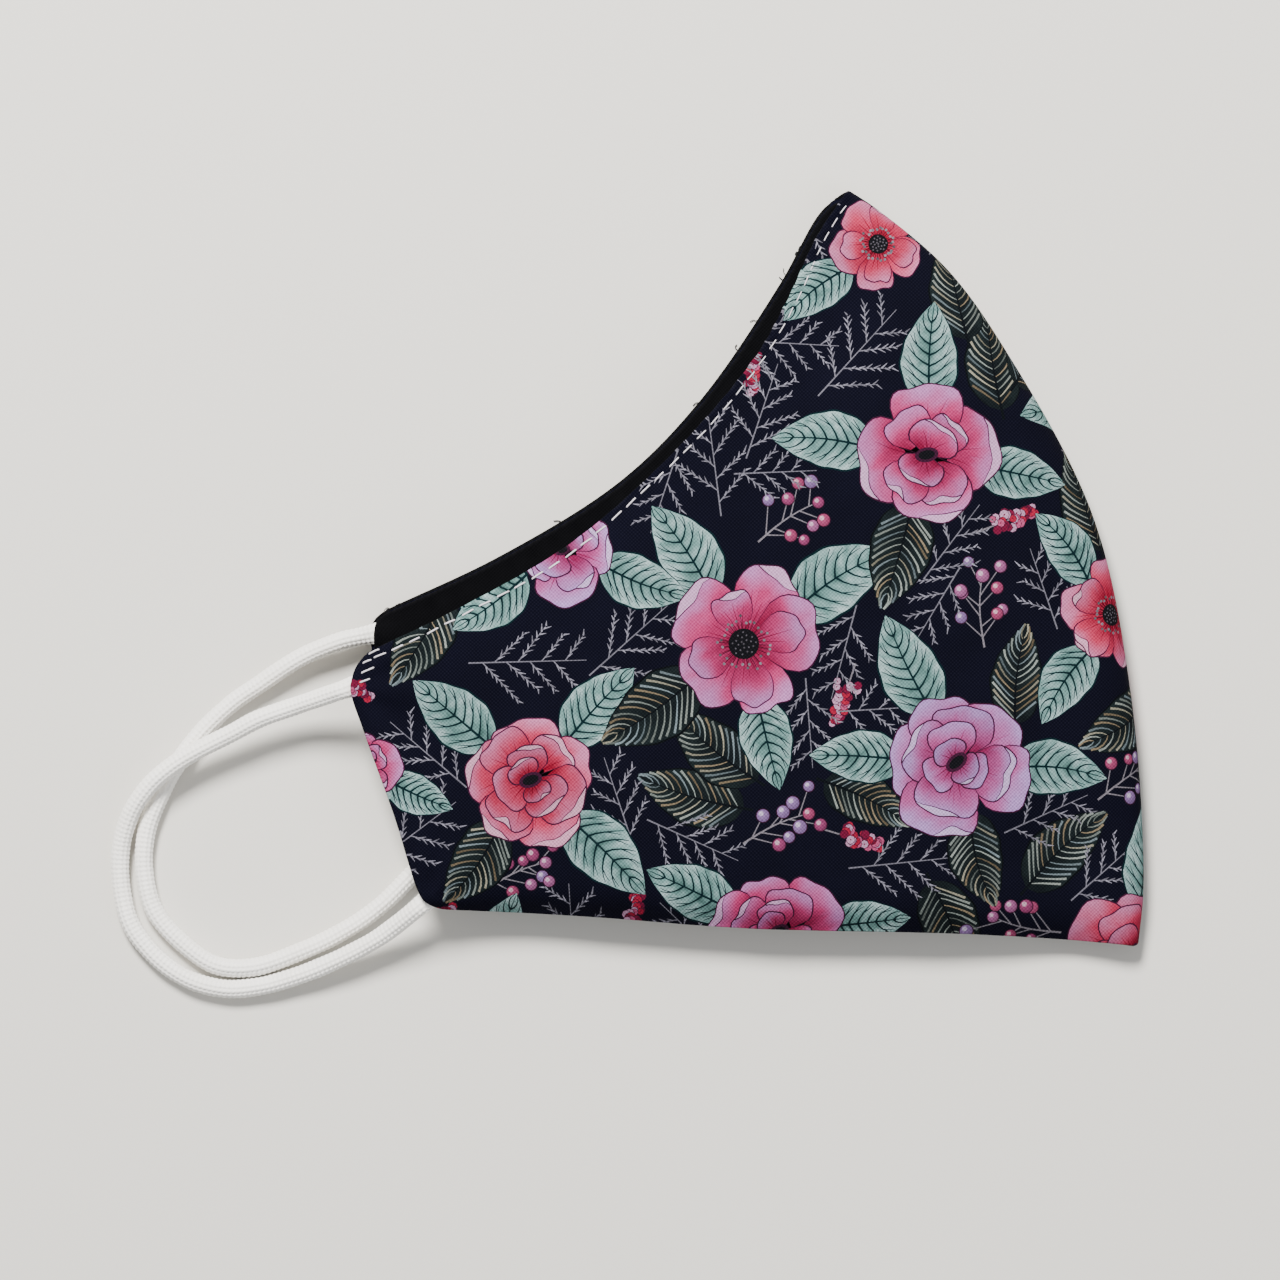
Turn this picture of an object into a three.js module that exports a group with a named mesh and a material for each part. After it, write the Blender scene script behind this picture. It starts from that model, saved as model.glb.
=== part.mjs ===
// A fitted cloth face mask, folded in two along its centre seam and lying on its side.
// Millimetres, +Z up. The mask lies on the plane z = 0, with the middle of its cloth above the origin,
// its ears to -X, its centre seam to +X and the tip of its nose to +Y.
//
// Each half is two panels, a printed outer and a plain lining. The far half lies on the table. The near
// half arches over it, and its edge stops short of the far one along the nose, so that the far lining shows.
// A panel is a four-sided sheet: along s it runs from the ear edge (0) to the centre seam (1),
// and along t from the chin edge (0) to the nose edge (1).
import * as THREE from "three";

// Size of the folded mask, seen from above.
const MASK_LENGTH = 135;
const MASK_HEIGHT = 129.5;

// Cloth, from the outside in.
const OUTER_THICKNESS = 1.0;
const LINING_THICKNESS = 1.0;
const LAYER_GAP = 0.3;
const LINING_INSET = 0.6;

// The centre seam, where the two halves meet.
const SEAM_GAP = 0.3;
const SEAM_RISE = 2.4;
const SEAM_ROUNDNESS = 1.5;

// How far the fold stands open.
const HOLLOW_DEPTH = 9.2;
const OPENING_RUN = 45;
const FAR_CORNER_LIFT = 2.4;
const FAR_CORNER_REACH = 30;

// Ear loops: round elastic cord.
const CORD_DIAMETER = 3.2;
const CORD_SIDES = 8;
const CORD_STEP = 7;
const CORD_CLEARANCE = 0.35;
const CORD_LEAD = 3.2;

// Fineness of the panels.
const ROWS = 18;
const COLUMNS = 13;
const RIM_COLUMNS = 5;

const LINING_START = OUTER_THICKNESS + LAYER_GAP;
const HALF_THICKNESS = LINING_START + LINING_THICKNESS;

// The centre seam from chin to nose, as shares of the mask's length and height. Both halves share it.
const SEAM_EDGE = [
  { length: 0.9937, height: 0.0 },
  { length: 1.0, height: 0.0885 },
  { length: 0.9823, height: 0.3395 },
  { length: 0.9341, height: 0.5707 },
  { length: 0.8251, height: 0.786 },
  { length: 0.7516, height: 0.893 },
  { length: 0.6654, height: 0.9709 },
  { length: 0.6248, height: 1.0 },
];

// The free edges of each half: nose and chin run from ear to seam, and the ear edge from chin to nose.
const NEAR_EDGES = {
  nose: [
    { length: 0.0177, height: 0.3897 },
    { length: 0.1179, height: 0.4386 },
    { length: 0.2763, height: 0.5337 },
    { length: 0.4043, height: 0.6513 },
    { length: 0.5057, height: 0.7741 },
    { length: 0.5463, height: 0.8507 },
    { length: 0.5843, height: 0.9366 },
    { length: 0.6248, height: 1.0 },
  ],
  chin: [
    { length: 0.1027, height: 0.0489 },
    { length: 0.3004, height: 0.0383 },
    { length: 0.4905, height: 0.0238 },
    { length: 0.7693, height: 0.0159 },
    { length: 0.9937, height: 0.0 },
  ],
  ear: [
    { length: 0.1027, height: 0.0489 },
    { length: 0.0849, height: 0.0713 },
    { length: 0.052, height: 0.1783 },
    { length: 0.0145, height: 0.2863 },
    { length: 0.0, height: 0.3355 },
    { length: 0.0038, height: 0.3659 },
    { length: 0.0177, height: 0.3897 },
  ],
};
const FAR_EDGES = {
  nose: [
    { length: 0.0368, height: 0.4425 },
    { length: 0.1863, height: 0.5165 },
    { length: 0.3384, height: 0.6156 },
    { length: 0.4398, height: 0.7226 },
    { length: 0.5412, height: 0.8771 },
    { length: 0.5919, height: 0.9706 },
    { length: 0.6248, height: 1.0 },
  ],
  chin: [
    { length: 0.1141, height: 0.0859 },
    { length: 0.3638, height: 0.0555 },
    { length: 0.7186, height: 0.0291 },
    { length: 0.9937, height: 0.0 },
  ],
  ear: [
    { length: 0.1141, height: 0.0859 },
    { length: 0.0722, height: 0.2074 },
    { length: 0.0342, height: 0.3395 },
    { length: 0.0215, height: 0.4082 },
    { length: 0.0253, height: 0.4293 },
    { length: 0.0368, height: 0.4425 },
  ],
};

// How open the fold is, as a share of HOLLOW_DEPTH, from the chin edge to the nose edge.
const OPEN_ACROSS = [
  { at: 0, open: 0.54 },
  { at: 0.05, open: 0.7 },
  { at: 0.16, open: 0.87 },
  { at: 0.45, open: 1.0 },
  { at: 0.8, open: 0.95 },
  { at: 0.95, open: 0.82 },
  { at: 1, open: 0.74 },
];
// And from the ear edge to the centre seam.
const OPEN_ALONG = [
  { at: 0, open: 0.8 },
  { at: 0.15, open: 0.92 },
  { at: 0.45, open: 1.0 },
  { at: 1, open: 1.0 },
];

// Soft dents and swells of the near half, placed and sized by shares of the mask's length and height.
// The height is a share of HOLLOW_DEPTH, and the turn is in degrees from +X.
const NEAR_DENTS = [
  { length: 0.6, height: 0.79, turn: 55, long: 0.11, wide: 0.05, rise: -0.09 },
  { length: 0.93, height: 0.15, turn: 8, long: 0.1, wide: 0.055, rise: -0.09 },
  { length: 0.12, height: 0.3, turn: -25, long: 0.09, wide: 0.05, rise: -0.05 },
  { length: 0.78, height: 0.72, turn: -50, long: 0.13, wide: 0.07, rise: 0.05 },
];

// Where each loop is held on its ear edge, as shares of that edge from chin to nose.
const NEAR_LOOP_HOLDS = { chin: 0.045, nose: 0.86 };
const FAR_LOOP_HOLDS = { chin: 0.11, nose: 0.905 };

// The loops' routes from the nose end round to the chin end, lying on the table away from the mask.
// Each point is the middle of the cord, and the near loop passes over the far one.
const NEAR_LOOP_ROUTE = [
  { x: -76.6, y: -23.4, z: 7.6 },
  { x: -83.4, y: -25.8, z: 6.8 },
  { x: -88.4, y: -28.4, z: 6.0 },
  { x: -93.8, y: -31.1, z: 5.5 },
  { x: -98.6, y: -34.0, z: 5.2 },
  { x: -102.4, y: -37.4, z: 4.6 },
  { x: -105.2, y: -41.4, z: 3.6 },
  { x: -107.1, y: -46.8, z: 2.3 },
  { x: -107.4, y: -53.2, z: 1.62 },
  { x: -105.7, y: -60.8, z: 1.62 },
  { x: -101.4, y: -66.5, z: 1.62 },
  { x: -96.0, y: -70.3, z: 1.62 },
  { x: -89.8, y: -72.0, z: 1.62 },
  { x: -83.6, y: -71.6, z: 1.8 },
  { x: -76.6, y: -69.6, z: 2.4 },
  { x: -69.7, y: -66.7, z: 3.6 },
  { x: -62.9, y: -63.0, z: 5.0 },
];
const FAR_LOOP_ROUTE = [
  { x: -69.9, y: -12.6, z: 4.0 },
  { x: -76.6, y: -15.4, z: 3.4 },
  { x: -83.4, y: -19.8, z: 2.4 },
  { x: -88.6, y: -23.4, z: 1.7 },
  { x: -93.6, y: -28.2, z: 1.62 },
  { x: -97.6, y: -33.4, z: 1.62 },
  { x: -100.7, y: -39.0, z: 1.62 },
  { x: -103.0, y: -45.4, z: 1.62 },
  { x: -103.3, y: -52.2, z: 1.62 },
  { x: -101.5, y: -58.8, z: 1.62 },
  { x: -96.8, y: -64.2, z: 1.62 },
  { x: -91.0, y: -68.0, z: 1.62 },
  { x: -84.6, y: -68.3, z: 1.62 },
  { x: -77.0, y: -65.8, z: 1.62 },
  { x: -69.7, y: -62.4, z: 1.62 },
  { x: -62.9, y: -57.8, z: 1.8 },
];

const PRINTED_COTTON = { color: 0x1d1b2e, roughness: 0.85, metalness: 0 };
const BLACK_COTTON = { color: 0x0b0b0e, roughness: 0.9, metalness: 0 };
const WHITE_ELASTIC = { color: 0xf0ede6, roughness: 0.55, metalness: 0 };

// A table's value between its rows, on a smooth curve.
function tableCurve(table) {
  const curve = new THREE.CubicInterpolant(
    table.map((row) => row.at),
    table.map((row) => row.open),
    1,
  );
  return (at) => curve.evaluate(at)[0];
}

function placeOnPlan(length, height) {
  return new THREE.Vector3((length - 0.5) * MASK_LENGTH, (height - 0.5) * MASK_HEIGHT, 0);
}

function edgeCurve(table) {
  return new THREE.CatmullRomCurve3(
    table.map((row) => placeOnPlan(row.length, row.height)),
    false,
    "centripetal",
  );
}

// The plan of one half: a patch between its four edge curves.
function planOf(edges) {
  const nose = edgeCurve(edges.nose);
  const chin = edgeCurve(edges.chin);
  const ear = edgeCurve(edges.ear);
  const seam = edgeCurve(SEAM_EDGE);

  function point(s, t) {
    const across = chin.getPointAt(s).lerp(nose.getPointAt(s), t);
    const along = ear.getPointAt(t).lerp(seam.getPointAt(t), s);
    const chinLine = chin.getPointAt(0).lerp(chin.getPointAt(1), s);
    const noseLine = nose.getPointAt(0).lerp(nose.getPointAt(1), s);
    return across.add(along).sub(chinLine.lerp(noseLine, t));
  }

  // Millimetres of cloth for one unit of s, at the seam, and for one unit of t.
  const probe = 0.03;
  const alongScale = (t) => point(1, t).distanceTo(point(1 - probe, t)) / probe;
  const acrossScale = (s) => point(s, 0).distanceTo(point(s, 1));
  return { point, alongScale, acrossScale, ear };
}

const openAcross = tableCurve(OPEN_ACROSS);
const openAlong = tableCurve(OPEN_ALONG);

// Height of the centre seam above the table: highest half way along it.
function seamHeight(t) {
  return HALF_THICKNESS + LAYER_GAP + SEAM_RISE * Math.sqrt(Math.sin(Math.PI * THREE.MathUtils.clamp(t, 0, 1)));
}

// Clear height between the two linings, a given distance from the seam.
function hollow(s, t, fromSeam) {
  const atSeam = 2 * (seamHeight(t) - HALF_THICKNESS);
  const away = HOLLOW_DEPTH * openAcross(t) * openAlong(s);
  return THREE.MathUtils.lerp(atSeam, away, THREE.MathUtils.smoothstep(fromSeam, 0, OPENING_RUN));
}

function dents(place) {
  let sum = 0;
  for (const dent of NEAR_DENTS) {
    const away = place.clone().sub(placeOnPlan(dent.length, dent.height));
    away.applyAxisAngle(new THREE.Vector3(0, 0, 1), -THREE.MathUtils.degToRad(dent.turn));
    const long = away.x / (dent.long * MASK_LENGTH);
    const wide = away.y / (dent.wide * MASK_HEIGHT);
    sum += dent.rise * HOLLOW_DEPTH * Math.exp(-long * long - wide * wide);
  }
  return sum;
}

// The far half's ear and nose corner stands a little off the table.
function farLift(place, corner) {
  const near = 1 - THREE.MathUtils.smoothstep(place.distanceTo(corner), 0, FAR_CORNER_REACH);
  return FAR_CORNER_LIFT * near;
}

// Each half gives the height of its surface at a depth of cloth, before the seam rounds it off.
function nearHalf() {
  const plan = planOf(NEAR_EDGES);
  const farCorner = planOf(FAR_EDGES).point(0, 1);
  const top = (s, t, place, fromSeam) =>
    2 * HALF_THICKNESS + hollow(s, t, fromSeam) + dents(place) + farLift(place, farCorner);
  return {
    plan,
    seamSide: (t) => seamHeight(t) + SEAM_GAP / 2,
    height: (s, t, place, fromSeam, depth) => top(s, t, place, fromSeam) - depth,
  };
}

function farHalf() {
  const plan = planOf(FAR_EDGES);
  const corner = plan.point(0, 1);
  return {
    plan,
    seamSide: (t) => seamHeight(t) - SEAM_GAP / 2,
    height: (s, t, place, fromSeam, depth) => farLift(place, corner) + depth,
  };
}

// A point of a half's surface at a depth of cloth. Towards the seam the surface rounds over, as an ellipse,
// to stand upright at the seam's height.
function surfacePoint(half, column, t, depth, inset) {
  const { plan } = half;
  const rowScale = plan.alongScale(t);
  const radius = SEAM_ROUNDNESS * (seamHeight(t) - SEAM_GAP / 2);
  let fromSeam, round;
  if (column > COLUMNS) {
    const turn = ((COLUMNS + RIM_COLUMNS - column) / RIM_COLUMNS) * (Math.PI / 2);
    fromSeam = radius - (radius - depth) * Math.cos(turn);
    round = Math.sin(turn);
  } else {
    const run = rowScale - inset - radius;
    fromSeam = radius + run * (1 - column / COLUMNS);
    round = 1;
  }
  const s = 1 - fromSeam / rowScale;
  const trimmed = inset / plan.acrossScale(s);
  const place = plan.point(s, THREE.MathUtils.lerp(trimmed, 1 - trimmed, t));
  const seam = half.seamSide(t);
  place.z = seam + (half.height(s, t, place.clone().setZ(0), fromSeam, depth) - seam) * round;
  return place;
}

function surfaceGrid(half, depth, inset) {
  const grid = [];
  for (let row = 0; row <= ROWS; row += 1) {
    // Rows lie closer together towards the chin and nose edges.
    const even = row / ROWS;
    const t = THREE.MathUtils.lerp(even, (1 - Math.cos(Math.PI * even)) / 2, 0.5);
    const line = [];
    for (let column = 0; column <= COLUMNS + RIM_COLUMNS; column += 1) {
      line.push(surfacePoint(half, column, t, depth, inset));
    }
    grid.push(line);
  }
  return grid;
}

// One closed sheet between an upper and a lower grid of points.
function sheetGeometry(upper, lower) {
  const rows = upper.length;
  const columns = upper[0].length;
  const points = [...upper.flat(), ...lower.flat()];
  const top = (row, column) => row * columns + column;
  const under = (row, column) => rows * columns + top(row, column);
  const faces = [];
  const quad = (a, b, c, d) => faces.push(a, b, c, a, c, d);
  for (let row = 0; row < rows - 1; row += 1) {
    for (let column = 0; column < columns - 1; column += 1) {
      quad(top(row, column), top(row, column + 1), top(row + 1, column + 1), top(row + 1, column));
      quad(under(row, column), under(row + 1, column), under(row + 1, column + 1), under(row, column + 1));
    }
  }
  for (let column = 0; column < columns - 1; column += 1) {
    quad(top(0, column), under(0, column), under(0, column + 1), top(0, column + 1));
    const last = rows - 1;
    quad(top(last, column + 1), under(last, column + 1), under(last, column), top(last, column));
  }
  for (let row = 0; row < rows - 1; row += 1) {
    quad(top(row + 1, 0), under(row + 1, 0), under(row, 0), top(row, 0));
    const last = columns - 1;
    quad(top(row, last), under(row, last), under(row + 1, last), top(row + 1, last));
  }
  const geometry = new THREE.BufferGeometry().setFromPoints(points);
  geometry.setIndex(faces);
  geometry.computeVertexNormals();
  return geometry;
}

function namedMesh(name, geometry, finish) {
  const mesh = new THREE.Mesh(geometry, new THREE.MeshStandardMaterial(finish));
  mesh.name = name;
  return mesh;
}

function nearPanels() {
  const half = nearHalf();
  const outer = sheetGeometry(surfaceGrid(half, 0, 0), surfaceGrid(half, OUTER_THICKNESS, 0));
  const lining = sheetGeometry(
    surfaceGrid(half, LINING_START, LINING_INSET),
    surfaceGrid(half, HALF_THICKNESS, LINING_INSET),
  );
  return [namedMesh("outer_near", outer, PRINTED_COTTON), namedMesh("lining_near", lining, BLACK_COTTON)];
}

function farPanels() {
  const half = farHalf();
  const outer = sheetGeometry(surfaceGrid(half, OUTER_THICKNESS, 0), surfaceGrid(half, 0, 0));
  const lining = sheetGeometry(
    surfaceGrid(half, HALF_THICKNESS, LINING_INSET),
    surfaceGrid(half, LINING_START, LINING_INSET),
  );
  return [namedMesh("outer_far", outer, PRINTED_COTTON), namedMesh("lining_far", lining, BLACK_COTTON)];
}

// The end of a loop at the ear edge, and the point where it has run straight out of the cloth.
function loopEnd(half, hold) {
  const edge = half.plan.ear.getPointAt(hold);
  const along = half.plan.ear.getTangentAt(hold);
  const outward = new THREE.Vector3(-along.y, along.x, 0);
  const middle = half.height(0, hold, edge, half.plan.alongScale(hold), HALF_THICKNESS / 2);
  edge.z = Math.max(middle, CORD_DIAMETER / 2);
  const start = edge.clone().addScaledVector(outward, CORD_CLEARANCE);
  const lead = edge.clone().addScaledVector(outward, CORD_LEAD);
  return { start, lead };
}

function earLoop(name, half, holds, route) {
  const first = loopEnd(half, holds.nose);
  const last = loopEnd(half, holds.chin);
  const middle = route.map(({ x, y, z }) => new THREE.Vector3(x, y, z));
  const line = new THREE.CatmullRomCurve3([first.start, first.lead, ...middle, last.lead, last.start]);
  const section = new THREE.Shape();
  for (let side = 0; side < CORD_SIDES; side += 1) {
    const turn = ((side + 0.5) / CORD_SIDES) * 2 * Math.PI;
    const corner = [Math.cos(turn) * (CORD_DIAMETER / 2), Math.sin(turn) * (CORD_DIAMETER / 2)];
    if (side === 0) section.moveTo(...corner);
    else section.lineTo(...corner);
  }
  section.closePath();
  const steps = Math.round(line.getLength() / CORD_STEP);
  const geometry = new THREE.ExtrudeGeometry(section, { steps, extrudePath: line });
  return namedMesh(name, geometry, WHITE_ELASTIC);
}

const mask = new THREE.Group();
mask.add(...nearPanels(), ...farPanels());
mask.add(earLoop("ear_loop_near", nearHalf(), NEAR_LOOP_HOLDS, NEAR_LOOP_ROUTE));
mask.add(earLoop("ear_loop_far", farHalf(), FAR_LOOP_HOLDS, FAR_LOOP_ROUTE));

export default mask;
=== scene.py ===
# A fitted cloth face mask, folded in half along its centre seam and lying on its side.
# The cloth is worked out in millimetres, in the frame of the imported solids, and made in metres.
import math

import bpy
import numpy as np
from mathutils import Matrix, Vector
from mathutils.geometry import delaunay_2d_cdt


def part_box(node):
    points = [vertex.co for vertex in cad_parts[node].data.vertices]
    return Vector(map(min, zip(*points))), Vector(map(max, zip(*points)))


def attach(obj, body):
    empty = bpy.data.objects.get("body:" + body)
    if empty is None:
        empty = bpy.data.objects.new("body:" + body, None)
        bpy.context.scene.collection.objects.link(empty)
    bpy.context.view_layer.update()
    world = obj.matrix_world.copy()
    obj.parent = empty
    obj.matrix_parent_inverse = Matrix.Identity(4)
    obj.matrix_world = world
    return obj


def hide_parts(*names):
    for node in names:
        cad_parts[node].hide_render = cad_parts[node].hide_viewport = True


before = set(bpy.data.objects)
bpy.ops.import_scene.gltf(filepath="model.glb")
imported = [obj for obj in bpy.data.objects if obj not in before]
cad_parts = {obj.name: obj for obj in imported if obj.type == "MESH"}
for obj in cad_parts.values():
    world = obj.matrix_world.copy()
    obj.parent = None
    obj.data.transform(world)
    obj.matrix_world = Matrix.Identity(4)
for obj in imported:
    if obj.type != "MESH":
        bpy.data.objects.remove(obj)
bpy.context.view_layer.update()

MM = 0.001

# Sizes

mask_low, mask_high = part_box("outer_near")
MASK_LENGTH = (mask_high[0] - mask_low[0]) / MM
MASK_HEIGHT = (mask_high[1] - mask_low[1]) / MM

OUTER_THICKNESS = 1.0
LINING_THICKNESS = 1.0
LAYER_GAP = 0.3
LINING_INSET = 0.6
LINING_START = OUTER_THICKNESS + LAYER_GAP
HALF_THICKNESS = LINING_START + LINING_THICKNESS

SEAM_GAP = 0.3
SEAM_RISE = 2.4
SEAM_ROUNDNESS = 1.5

HOLLOW_DEPTH = 9.2
OPENING_RUN = 45
FAR_CORNER_LIFT = 2.4
FAR_CORNER_REACH = 30

# How round the corners of the cloth are: chin by ear, chin by seam, tip, nose by ear. Their points are
# about CORNER_STEP apart.
CORNER_ROUNDING = [2.0, 0.8, 0.7, 1.2]
CORNER_STEP = 0.35

# How far the near half's free edges roll down and over what width, and how far round the cord ends
# they are held up.
CHIN_ROLL = 2.2
CHIN_ROLL_WIDTH = 2.9
EAR_ROLL = 0.5
EAR_ROLL_WIDTH = 2.0
CORD_HOLD_REACH = 7.0

# How far the lining rolls over the far nose edge onto the outside, and how far past the edge it is drawn.
EDGING_WIDTH = 1.6
EDGING_SPARE = 2

# How far apart the points of each sheet are: on the outside, along the stitched edge, inside and behind.
NEAR_STEP = 1.15
FAR_STEP = 1.5
STITCHED_STEP = 0.5
STITCHED_REACH = 4.6
LINING_STEP = 1.2
BACK_STEP = 2.5
OUTER_OUTLINE_STEP = 0.8
LINING_OUTLINE_STEP = 0.6

# Soft ripples: how long, the seed of their draw, and their rise.
NEAR_RIPPLES = [(34, 3, 0.42), (14, 8, 0.14)]
FAR_RIPPLE = (15, 21, 0.16)
WAVES_PER_RIPPLE = 6

# The cloth over the sewn-in cords: reach along and across, and the rise of each layer.
CORD_SWELL_REACH = (4.2, 2.4)
OUTER_SWELL = 0.8
LINING_SWELL = -0.5

# Creases that fan out from each end of the near loop: how many, how far out, how wide and their rise.
FAN_CREASES = 7
FAN_PLACE = 9
FAN_WIDTH = 6
FAN_RISE = 0.3

# The stitched line: the groove under the thread, the puckers beside it and the pulls further in.
GROOVE_DEPTH = 0.28
GROOVE_WIDTH = 0.62
PUCKER_RISE = 0.2
PUCKER_WIDTH = 0.6
PUCKERS_PER_STITCH = 0.62
PULL_RISE = 0.17
PULL_PLACE = 1.9
PULL_WIDTH = 1.8

# How far inside the far nose edge its seam line shows on the lining, and its width and rise.
FAR_SEAM_INSET = 1.9
FAR_SEAM_WIDTH = 0.45
FAR_SEAM_RISE = 0.16

# How far apart the cloth's threads are, in metres.
WEAVE_PITCH = 0.00031

# The round elastic: its thickness, how far it is sewn in, the columns of its knitting, how long a stitch
# is, and how finely both are modelled.
CORD_DIAMETER = 3.2
CORD_TUCK = 3.5
KNIT_COLUMNS = 12
KNIT_PITCH = 0.82
RINGS_PER_STITCH = 6
SIDES_PER_COLUMN = 4

# Topstitching along the nose edge.
STITCH_INSET = 1.55
STITCH_LENGTH = 2.6
STITCH_PITCH = 3.3
STITCH_START = 0.8
STITCH_END = 2.2
STITCH_POINTS = 9
STITCH_WANDER = 0.09
STITCH_LIFT = 0.11
STITCH_DIP = 0.6
THREAD_DIAMETER = 0.32
THREAD_THINNING = 0.32

# Back stitches over the sewn-in end of the near loop: where each starts along the nose edge,
# how long it is, and how far it is from that edge.
BACK_STITCHES = [(0.3, 2.2, 0.7), (-1.2, 1.7, 1.7), (-2.2, 2.7, 3.1), (-3.0, 2.0, 4.5)]

# Loose fibres: how many, how long, the least height of one above the floor, and where the first are
# along the edge.
FIBRE_COUNT = 11
FIBRE_LENGTH = 1.3
FIBRE_CLEARANCE = 0.15
FIRST_FIBRES = (0.0, 0.008, 0.02)

# How much light the dyes give back, how deep they are, and how much paler the back of the print is.
DYE_STRENGTH = 0.56
DYE_DEPTH = 1.25
BACK_OF_PRINT = 1.6

# Seeds of the random draws.
PRINT_SEED = 11
FILLING_SEED = 111
STITCH_SEED = 5
FIBRE_SEED = 9

# How far the print of the far half is moved and turned, as it is cut from another place in the cloth,
# and the widest gap between motifs that is left unfilled.
FAR_PRINT_SHIFT = (3, 7)
FAR_PRINT_TURN = math.pi
SMALLEST_GAP = 3.0

# The photo's frame on the plane of the mask, and how far above it the camera is.
PHOTO_WIDTH_PX = 1280
MASK_LENGTH_PX = 787
MASK_MIDDLE_PX = (748, 568)
PX = MASK_LENGTH / MASK_LENGTH_PX
FRAME_CENTRE_PX = (PHOTO_WIDTH_PX / 2 - MASK_MIDDLE_PX[0], MASK_MIDDLE_PX[1] - PHOTO_WIDTH_PX / 2)
CAMERA_HEIGHT = 900
SENSOR_WIDTH = 36

# The floor, in metres: its width, and how far below the cloth it lies.
FLOOR_WIDTH = 3
FLOOR_DROP = 0.0001

# Outline

SEAM_EDGE = [
    (0.9937, 0.0), (1.0, 0.0885), (0.9823, 0.3395), (0.9341, 0.5707), (0.8251, 0.786), (0.7516, 0.893),
    (0.6654, 0.9709), (0.6248, 1.0),
]
NEAR_EDGES = {
    "nose": [
        (0.0177, 0.3897), (0.1179, 0.4386), (0.2763, 0.5337), (0.4043, 0.6513), (0.5057, 0.7741),
        (0.5463, 0.8507), (0.5843, 0.9366), (0.6248, 1.0),
    ],
    "chin": [(0.1027, 0.0489), (0.3004, 0.0383), (0.4905, 0.0238), (0.7693, 0.0159), (0.9937, 0.0)],
    "ear": [
        (0.1027, 0.0489), (0.0849, 0.0713), (0.052, 0.1783), (0.0145, 0.2863), (0.0, 0.3355),
        (0.0038, 0.3659), (0.0177, 0.3897),
    ],
}
FAR_EDGES = {
    "nose": [
        (0.0368, 0.4425), (0.1863, 0.5165), (0.3384, 0.6156), (0.4398, 0.7226), (0.5412, 0.8771),
        (0.5919, 0.9706), (0.6248, 1.0),
    ],
    "chin": [(0.1141, 0.0859), (0.3638, 0.0555), (0.7186, 0.0291), (0.9937, 0.0)],
    "ear": [
        (0.1141, 0.0859), (0.0722, 0.2074), (0.0342, 0.3395), (0.0215, 0.4082), (0.0253, 0.4293),
        (0.0368, 0.4425),
    ],
}
OPEN_ACROSS = [(0, 0.54), (0.05, 0.7), (0.16, 0.87), (0.45, 1.0), (0.8, 0.95), (0.95, 0.82), (1, 0.74)]
OPEN_ALONG = [(0, 0.8), (0.15, 0.92), (0.45, 1.0), (1, 1.0)]

# Dents and swells of the near half: place, turn in degrees, reach along and across, and rise.
# Lengths are shares of the mask's length and height, and the rise is a share of HOLLOW_DEPTH.
NEAR_DENTS = [
    (0.6, 0.79, 55, 0.11, 0.05, -0.09),
    (0.93, 0.15, 8, 0.1, 0.055, -0.09),
    (0.12, 0.3, -25, 0.09, 0.05, -0.05),
    (0.78, 0.72, -50, 0.13, 0.07, 0.05),
]

NEAR_LOOP_HOLDS = {"chin": 0.045, "nose": 0.86}
FAR_LOOP_HOLDS = {"chin": 0.11, "nose": 0.905}
NEAR_LOOP_ROUTE = [
    (-76.6, -23.4, 7.6), (-83.4, -25.8, 6.8), (-88.4, -28.4, 6.0), (-93.8, -31.1, 5.5), (-98.6, -34.0, 5.2),
    (-102.4, -37.4, 4.6), (-105.2, -41.4, 3.6), (-107.1, -46.8, 2.3), (-107.4, -53.2, 1.62),
    (-105.7, -60.8, 1.62), (-101.4, -66.5, 1.62), (-96.0, -70.3, 1.62), (-89.8, -72.0, 1.62),
    (-83.6, -71.6, 1.8), (-76.6, -69.6, 2.4), (-69.7, -66.7, 3.6), (-62.9, -63.0, 5.0),
]
FAR_LOOP_ROUTE = [
    (-69.9, -12.6, 4.0), (-76.6, -15.4, 3.4), (-83.4, -19.8, 2.4), (-88.6, -23.4, 1.7), (-93.6, -28.2, 1.62),
    (-97.6, -33.4, 1.62), (-100.7, -39.0, 1.62), (-103.0, -45.4, 1.62), (-103.3, -52.2, 1.62),
    (-101.5, -58.8, 1.62), (-96.8, -64.2, 1.62), (-91.0, -68.0, 1.62), (-84.6, -68.3, 1.62),
    (-77.0, -65.8, 1.62), (-69.7, -62.4, 1.62), (-62.9, -57.8, 1.8),
]


# Curves and tables

def curve_through(points, steps=24):
    """Points along a smooth centripetal curve through the given ones."""
    points = np.asarray(points, float)
    padded = np.vstack([2 * points[0] - points[1], points, 2 * points[-1] - points[-2]])
    out = []
    for p0, p1, p2, p3 in zip(padded, padded[1:], padded[2:], padded[3:]):
        gaps = [max(np.linalg.norm(b - a), 1e-9) ** 0.5 for a, b in ((p0, p1), (p1, p2), (p2, p3))]
        leave = (p1 - p0) / gaps[0] - (p2 - p0) / (gaps[0] + gaps[1]) + (p2 - p1) / gaps[1]
        arrive = (p2 - p1) / gaps[1] - (p3 - p1) / (gaps[1] + gaps[2]) + (p3 - p2) / gaps[2]
        u = np.linspace(0, 1, steps, endpoint=False)[:, None]
        out.append(hermite(u, p1, leave * gaps[1], p2, arrive * gaps[1]))
    return np.vstack(out + [points[-1:]])


def hermite(u, start, leave, end, arrive):
    """A smooth step from start to end, with the slopes that it leaves and arrives with."""
    return (
        (2 * u**3 - 3 * u**2 + 1) * start
        + (u**3 - 2 * u**2 + u) * leave
        + (3 * u**2 - 2 * u**3) * end
        + (u**3 - u**2) * arrive
    )


def unit(vectors):
    return vectors / np.maximum(np.linalg.norm(vectors, axis=-1, keepdims=True), 1e-9)


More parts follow.
